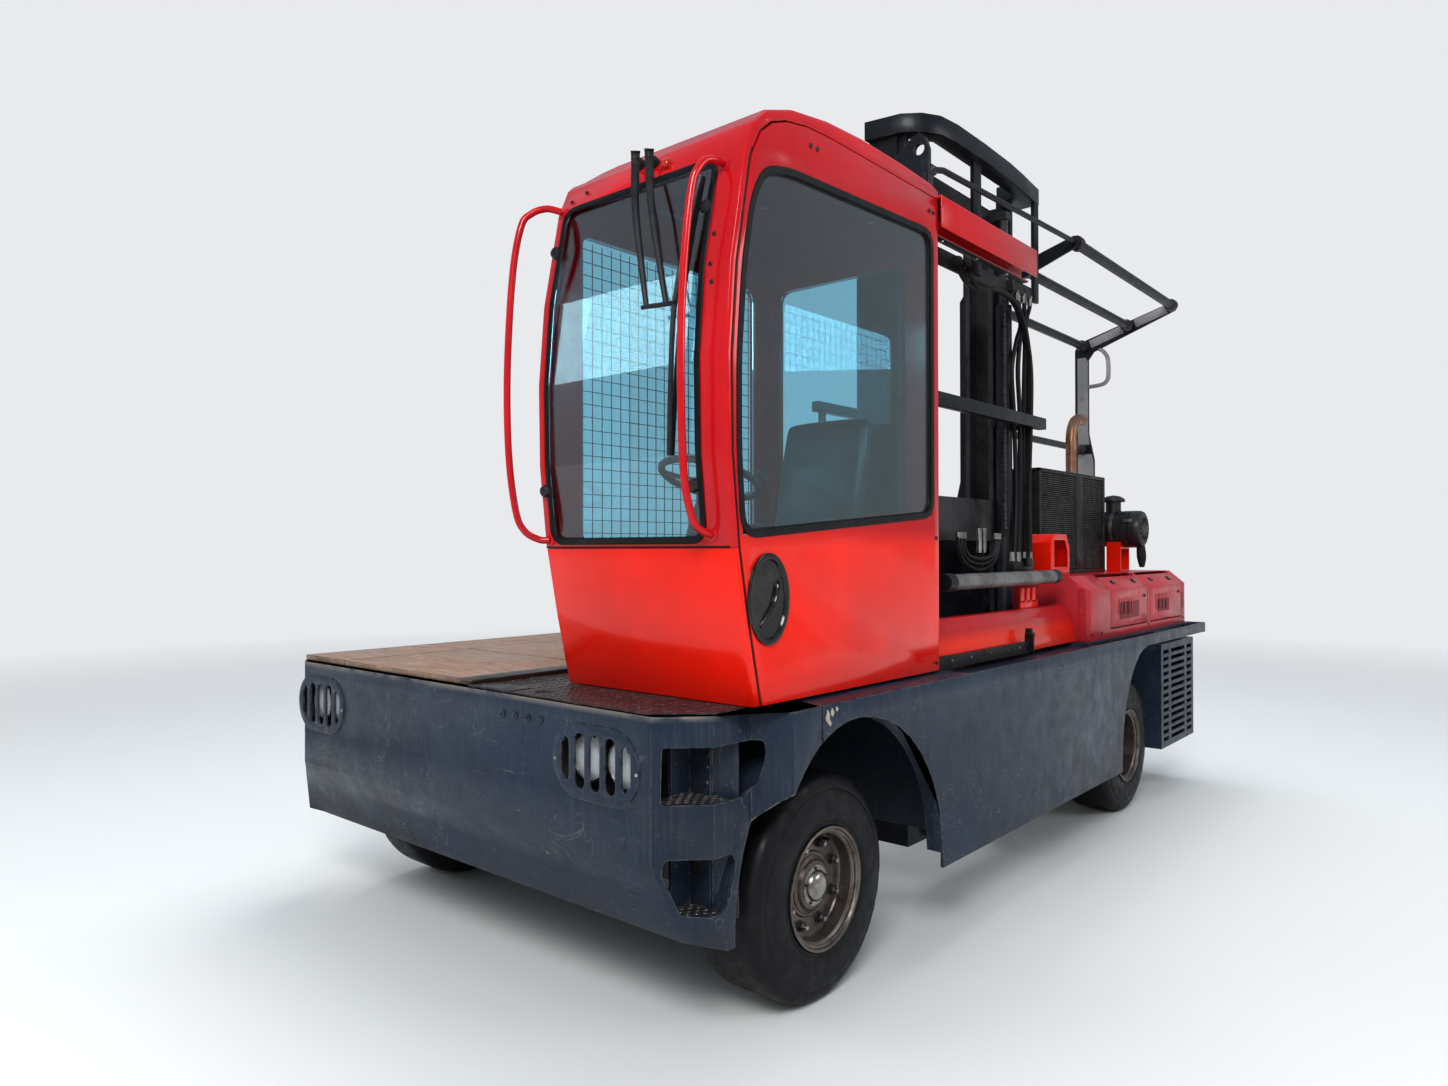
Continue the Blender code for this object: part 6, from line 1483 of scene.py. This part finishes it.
def roof_lamp():
    """The amber beacon: a black foot and a fluted dome."""
    place = (0.82, -1.59, 3.1253)
    form = Form().lathe([(0, 0.0), (0, 0.0600), (0.004, 0.0615), (0.015, 0.0600), (0.019, 0.054),
                         (0.019, 0.0)],
                        place, Z, "plastic", 40)

    def flute(number, step):
        return 0.0009 if 1 <= number <= 3 and step % 2 else 0.0

    form.lathe([(0.0185, 0.0), (0.0185, 0.0510), (0.045, 0.0505), (0.070, 0.0480), (0.086, 0.0430),
                (0.098, 0.0330), (0.107, 0.0190), (0.1105, 0.0)], place, Z, "amber", 72, flute)
    form.done("roof_lamp", stands_for=("beacon",), sharp=50)


def hose_run():
    """Six hoses from clamp to clamp with their end nuts."""
    form = Form()
    for low, high in (((0.955, 0.14, 2.962), (1.002, 0.402, 3.022)),
                      ((0.955, 0.14, 1.475), (1.002, 0.402, 1.530))):
        form.block(low, high, "black_steel", 0.003)
    for number in range(6):
        top_y, x = 0.163 + 0.043 * number, 0.981 + 0.010 * (number % 2)
        spread = [(3.000, top_y), (2.930, top_y + 0.004), (2.815, 0.270 + 0.012 * number),
                  (2.700, 0.215 + 0.030 * number), (2.540, 0.165 + 0.045 * number),
                  (2.300, 0.200 + 0.033 * number),
                  (1.900, 0.215 + 0.028 * number), (1.640, 0.185 + 0.038 * number),
                  (1.500, 0.165 + 0.041 * number)]
        form.tube([(x + 0.004 * sin(2.1 * number + 5 * z), y, z) for z, y in spread], 0.0118, "rubber", 10, 5)
        for z, y in (spread[0], spread[-1]):
            way = -1 if z > 2 else 1
            form.lathe([(0.0, 0.0), (0.0, 0.0155), (0.022, 0.0155), (0.024, 0.0135), (0.052, 0.0135),
                        (0.052, 0.0)],
                       (x, y, z + way * 0.026), (0, 0, way), "bright_steel", 6)
    form.done("mast_hose_run", "mast", ("mast_hoses",), 34)


def mast_fittings():
    """Cross tie with two hoses that join the run, three that hang below the lower tie, and the leaf chain."""
    form = Form()
    form.block((0.958, -0.80, 2.935), (0.972, 0.36, 3.015), "black_steel", 0.002)
    for number, start in enumerate((-0.470, -0.400)):
        x = 1.004 + 0.012 * number
        form.block((0.970, start - 0.020, 2.955), (x + 0.004, start + 0.020, 2.998), "black_steel", 0.003)
        route = ((start, 2.962), (start + 0.012, 2.915), (start + 0.12, 2.880), (-0.10, 2.915), (0.10, 2.905),
                 (0.235, 2.815), (0.300, 2.690), (0.335, 2.540), (0.330, 2.300), (0.300, 1.900),
                 (0.300, 1.640))
        form.tube([(x, y, z) for y, z in route] + [(x - 0.010, 0.300, 1.540)], 0.0118, "rubber", 10, 5)
        form.block((0.985, 0.270, 1.500), (x + 0.006, 0.330, 1.545), "black_steel", 0.003)
    for number in range(3):
        x, drop, half = 0.985 + 0.002 * number, 0.028 * number, 0.225 - 0.026 * number
        bow = ((-half, 1.672), (-half, 1.620), (-half * 0.72, 1.530 + drop * 0.6), (0, 1.490 + drop),
               (half * 0.72, 1.530 + drop * 0.6), (half, 1.620), (half, 1.672))
        form.tube([(x, -0.235 + y, z) for y, z in bow], 0.0105, "rubber", 10, 5)
        for way in (-1, 1):
            form.puck((x, -0.235 + way * half, 1.645), Z, 0.014, 0.030, "bright_steel", 6)
    for y in (-0.205, -0.150):
        form.block((0.962, y - 0.018, 1.575), (0.978, y + 0.018, 1.700), "bright_steel", 0.003)
    for number, z in enumerate(spaced(1.70, 2.93, 0.0255)):
        wide = 0.011 if number % 2 else 0.016
        form.block((0.9685, 0.090 - wide, z), (0.9795, 0.090 + wide, z + 0.028), "black_steel", 0.003)
        form.puck((0.9675, 0.090, z + 0.005), X, 0.0045, 0.0135, "worn_steel", 6)
    form.done("mast_fittings", "mast", sharp=34)


def bar_sleeve():
    """Worn sleeve of the lower round bar, with its dark collar and rounded end."""
    form = Form()
    for start, steps_of, key in ((-0.79, ((0, 0.0365), (1.165, 0.0365), (1.165, 0.0345)), "bar_steel"),
                                 (-0.835, ((0, 0.040), (0.006, 0.042), (0.062, 0.042), (0.066, 0.038),
                                           (0.066, 0.0345)), "black_steel"),
                                 (0.375, ((0, 0.0375), (0.060, 0.0385), (0.082, 0.034), (0.094, 0.022),
                                          (0.098, 0.0), (0.040, 0.0)), "black_steel")):
        form.lathe([(0, 0.0345), *steps_of], (1.105, start, 1.445), Y, key, 32)
    form.done("lower_bar_sleeve", "mast", sharp=34)


def rail_trim():
    """Door track under its cover, bolts and end stop of the lower rail, comb of hose hooks."""
    form = Form()
    form.block((1.140, -1.055, 2.9205), (1.177, -0.085, 2.9300), "black_steel", 0.002)
    for y in (-0.95, -0.62, -0.30):
        form.button((1.160, y, 2.9210), (0, 0, -1), 0.010, "bright_steel")
    for y in (-0.90, -0.72, -0.52, -0.34, -0.20):
        form.button((1.1775, y, 1.112), X, 0.0075, "worn_steel")
    form.block((1.156, -0.092, 1.155), (1.200, -0.068, 1.180), "black_steel", 0.003)
    form.block((1.158, -0.090, 1.178), (1.190, -0.070, 1.200), "black_steel", 0.003)
    form.done("rail_trim", sharp=34)
    form = Form()
    form.block((1.058, 0.070, 1.2845), (1.068, 0.290, 1.325), "cab_red", 0.002)
    for y in (0.070, 0.143, 0.216):
        form.block((1.058, y, 1.315), (1.068, y + 0.052, 1.392), "cab_red", 0.003)
    form.done("hose_comb", sharp=34)


# Load guard: place of each long bar, x and z, and its radius
GUARD_BARS = [(1.150, 3.300, 0.0285), (0.850, 3.205, 0.0285), (0.530, 3.100, 0.0285), (0.520, 2.335, 0.021)]
GUARD_FACE_Y = 2.4705


def guard_trim():
    """Thicker tubes, cap plates, pale flat faces, the bent hook and a bolt of the load guard."""
    form = Form()
    for x, z, radius in GUARD_BARS:
        form.tube([(x, 0.632, z), (x, 2.452, z)], radius, "mast", 16, 1)
        for y, way in ((2.4535, -1), (0.626, 1)):
            form.lathe([(0, 0.0), (0, radius + 0.010), (0.006, radius + 0.013), (0.050, radius + 0.012),
                        (0.075, radius + 0.001), (0.075, 0.0)], (x, y, z), (0, way, 0), "black_steel", 24)
    # Flat faces of the arm between the bars and of the post below
    for (x0, z0, _), (x1, z1, _) in zip(GUARD_BARS[:2], GUARD_BARS[1:3]):
        along = Vector((x1 - x0, 0, z1 - z0))
        up = Vector((-along.z, 0, along.x)).normalized()
        near, far = 0.045, along.length - 0.045
        form.slab([(near, 0.030), (far, 0.030), (far, -0.030), (near, -0.030)],
                  (x0, GUARD_FACE_Y, z0), along, up, 0.0025, "post", (), 0.0008)
    for line in ([(0.478, 3.02), (0.478, 2.37), (0.566, 2.37), (0.556, 2.46), (0.556, 2.99), (0.540, 3.02)],
                 [(0.478, 2.30), (0.478, 1.50), (0.594, 1.50), (0.594, 2.24), (0.580, 2.30)]):
        form.slab(line, (0, GUARD_FACE_Y, 0), X, Z, 0.0025, "post", (), 0.0008)
    form.button((0.505, 2.4690, 2.725), AHEAD, 0.011, "bright_steel")
    hook = ((0.641, 3.070), (0.672, 3.045), (0.700, 2.990), (0.704, 2.870), (0.688, 2.825), (0.650, 2.806),
            (0.552, 2.798))
    form.tube([(x, 2.474, z) for x, z in hook], 0.0165, "post", 10, 6, flat=0.6)
    form.done("guard_trim", sharp=34)


def dash_and_wheel():
    """Steering wheel on its column, and the dash with levers and gauges."""
    form = Form()
    head = Vector((0.74, -1.98, 1.86))
    foot = Vector((0.74, -2.13, 1.45))
    along = (head - foot).normalized()
    side = Vector(X)
    up = along.cross(side)
    form.tube([head + circle(k, 48, side, up) * 0.185 for k in range(48)], 0.0140, "plastic", 12, 1,
              closed=True)
    for angle in (90, 210, 330):
        reach = side * cos(radians(angle)) + up * sin(radians(angle))
        form.tube([head - along * 0.018, head - along * 0.016 + reach * 0.07, head + reach * 0.183],
                  lambda t: 0.014 - 0.004 * t, "plastic", 8, 5, flat=0.6)
    form.lathe([(-0.045, 0.0), (-0.045, 0.036), (-0.01, 0.048), (0.006, 0.046), (0.012, 0.036),
                (0.013, 0.0)], head,
               along, "plastic", 28)
    form.lathe([(0.0, 0.0), (0.0, 0.030), (0.05, 0.034), (0.30, 0.034), (0.36, 0.028), (0.40, 0.026),
                (0.40, 0.0)],
               foot - along * 0.02, along, "plastic", 24)
    knob_at = head + (side * 0.7 + up * 0.7).normalized() * 0.185 + along * 0.02
    form.lathe([(0, 0), (0, 0.008), (0.02, 0.010), (0.03, 0.020), (0.05, 0.023), (0.064, 0.014), (0.066, 0)],
               knob_at, along, "plastic", 16)
    dash = [(-2.215, 1.1167), (-2.065, 1.1167), (-2.100, 1.480), (-2.120, 1.530), (-2.190, 1.605),
            (-2.225, 1.618), (-2.310, 1.600), (-2.332, 1.575), (-2.305, 1.40), (-2.262, 1.13)]
    small = inset(dash, 0.010)
    form.rings([[Vector((x, a, b)) for a, b in line]
                for x, line in ((0.392, small), (0.400, dash), (1.035, dash), (1.043, small))], "plastic")
    for x in (0.47, 0.53, 0.59):
        form.button((x, -2.150, 1.5635), (0, 0.62, 0.78), 0.013)
    # A plain black gauge panel, in the black that elsewhere paints the shade of holes
    form.slab(stadium((0.07, 0.045), 5), (0.90, -2.158, 1.570), X, (0, -0.68, 0.73), 0.006, "void", (), 0.001)
    form.lathe([(0, 0.0), (0, 0.030), (0.004, 0.030), (0.0045, 0.026), (0.0045, 0)], (0.90, -2.154, 1.5745),
               (0, 0.73, 0.68), "bright_steel", 24)
    form.done("dash_and_wheel", stands_for=("cab_console",), sharp=34)


def window_mesh():
    """The wire guard on the load side's window."""
    form = Form()
    wires = [[(0.2985, y, 1.66 + number * 0.05) for y in (-2.235, -1.215)] for number in range(23)]
    wires += [[(0.3005, -2.225 + number * 0.05, z) for z in (1.635, 2.785)] for number in range(21)]
    for wire in wires:
        form.tube(wire, 0.0020, "mesh_steel", 4, 1)
    form.done("window_mesh")


SEAT_X, SEAT_Y = 0.74, -1.50


def seat():
    """The driver's seat: a boxed base with bellows and armrests, a crowned cushion and back."""
    form = Form()

    def box(half_x, low_y, high_y, low_z, high_z, key, edge, aside=0.0):
        middle = SEAT_X + aside
        form.block((middle - half_x, SEAT_Y + low_y, low_z), (middle + half_x, SEAT_Y + high_y, high_z),
                   key, edge)

    box(0.165, -0.195, 0.195, 1.1167, 1.20, "plastic", 0.012)
    for number in range(6):
        z = 1.205 + number * 0.034
        box(0.150 + 0.012 * (number % 2), -0.18, 0.18, z, z + 0.032, "rubber", 0.009)
    box(0.168, -0.198, 0.198, 1.408, 1.420, "plastic", 0.004)
    for way in (-1, 1):
        box(0.022, -0.12, 0.16, 1.66, 1.705, "vinyl", 0.018, way * 0.215)
        box(0.008, 0.115, 0.145, 1.55, 1.67, "plastic", 0.004, way * 0.215)
    form.done("seat_base", stands_for=("cab_seat",))
    cushion = pad("seat_cushion", (SEAT_X, SEAT_Y - 0.015, 1.482), (0.470, 0.495, 0.125), 0.0, 0.020)
    back = pad("seat_back", (SEAT_X, SEAT_Y + 0.250, 1.830), (0.445, 0.125, 0.660), -11.5, 0.016)


def pad(name, centre, size, lean, crown):
    """A stuffed pad: a rounded block with crowned faces, pulled-in sides and sewn channels."""
    bm = bmesh.new()
    bmesh.ops.create_cube(bm, size=1.0)
    bmesh.ops.subdivide_edges(bm, edges=bm.edges[:], cuts=15, use_grid_fill=True)
    thin = min(range(3), key=lambda axis: size[axis])
    wide = [axis for axis in range(3) if axis != thin]
    for vert in bm.verts:
        u = [vert.co[axis] * 2 for axis in range(3)]
        a, b, c = u[wide[0]], u[wide[1]], u[thin]
        round_off = (1 - abs(a) ** 7) ** 0.5 * (1 - abs(b) ** 7) ** 0.5
        bulge = (1 - a * a) * (1 - b * b)
        half = size[thin] / 2 - crown * 0.9
        pull = 1.0 - 0.030 * (1 - c * c) * (abs(a) ** 3 + abs(b) ** 3) * 0.5
        place = [0.0, 0.0, 0.0]
        place[wide[0]] = a * size[wide[0]] / 2 * (1 - 0.035 * abs(b) ** 4) * pull
        place[wide[1]] = b * size[wide[1]] / 2 * (1 - 0.035 * abs(a) ** 4) * pull
        place[thin] = c * (half * (0.45 + 0.55 * round_off)) + (crown * bulge * 0.9 * c)
        for seam in (-0.42, 0.0, 0.42):
            if abs(a) < 0.72:
                depth = 0.0045 if c > 0 else -0.0045
                place[thin] -= depth * max(0.0, 1 - abs(b - seam) / 0.07) * (abs(c) > 0.9)
        vert.co = Vector(place)
    bmesh.ops.rotate(bm, cent=(0, 0, 0), matrix=Matrix.Rotation(radians(lean), 3, "X"), verts=bm.verts)
    bmesh.ops.translate(bm, vec=Vector(centre), verts=bm.verts)
    item = Form(bm, "vinyl").done(name, sharp=60)
    smooth = item.modifiers.new("smooth", "SUBSURF")
    smooth.levels = 1
    smooth.render_levels = 1
    return item


# CAD solid, rounding of its edges, material
SOFTENED = [("cab_front_panel", 0.004, "cab_red"), ("cab_frame", 0.004, "crimson"),
            ("cab_roof", 0.006, "crimson"),
            ("door_panel", 0.0025, "door_red"), ("door_rail_upper", 0.002, "crimson"),
            ("lower_cover", 0.005, "cover_red"), ("engine_cover", 0.003, "hood_red"),
            ("hatch_front", 0.002, "hood_red"), ("hatch_rear", 0.002, "hood_red"),
            ("side_plate_right", 0.003, "chassis"), ("mast_outer", 0.002, "mast"),
            ("lug_post", 0.003, "mast"), ("fork_carriage", 0.003, "mast"), ("hose_guard", 0.0015, "cab_red")]

set_camera()
dress_nodes()
set_stage()
for part_place in ("front", "rear"):
    for part_side in ("left", "right"):
        wheel(part_place, part_side)
for part_side in ("left", "right"):
    head_lamp(part_side)
    grab_rail(part_side)
for build_piece in (panel_bolts, windscreen_trim, door_trim, wipers, cab_fittings, decks, chequer_plate,
                    front_plate, step_grips, hood_trim, cooler, exhaust, air_filter, roof_lamp, hose_run,
                    mast_fittings, bar_sleeve, rail_trim, guard_trim, dash_and_wheel, window_mesh, seat):
    build_piece()
for soft_piece in SOFTENED:
    softened(*soft_piece)
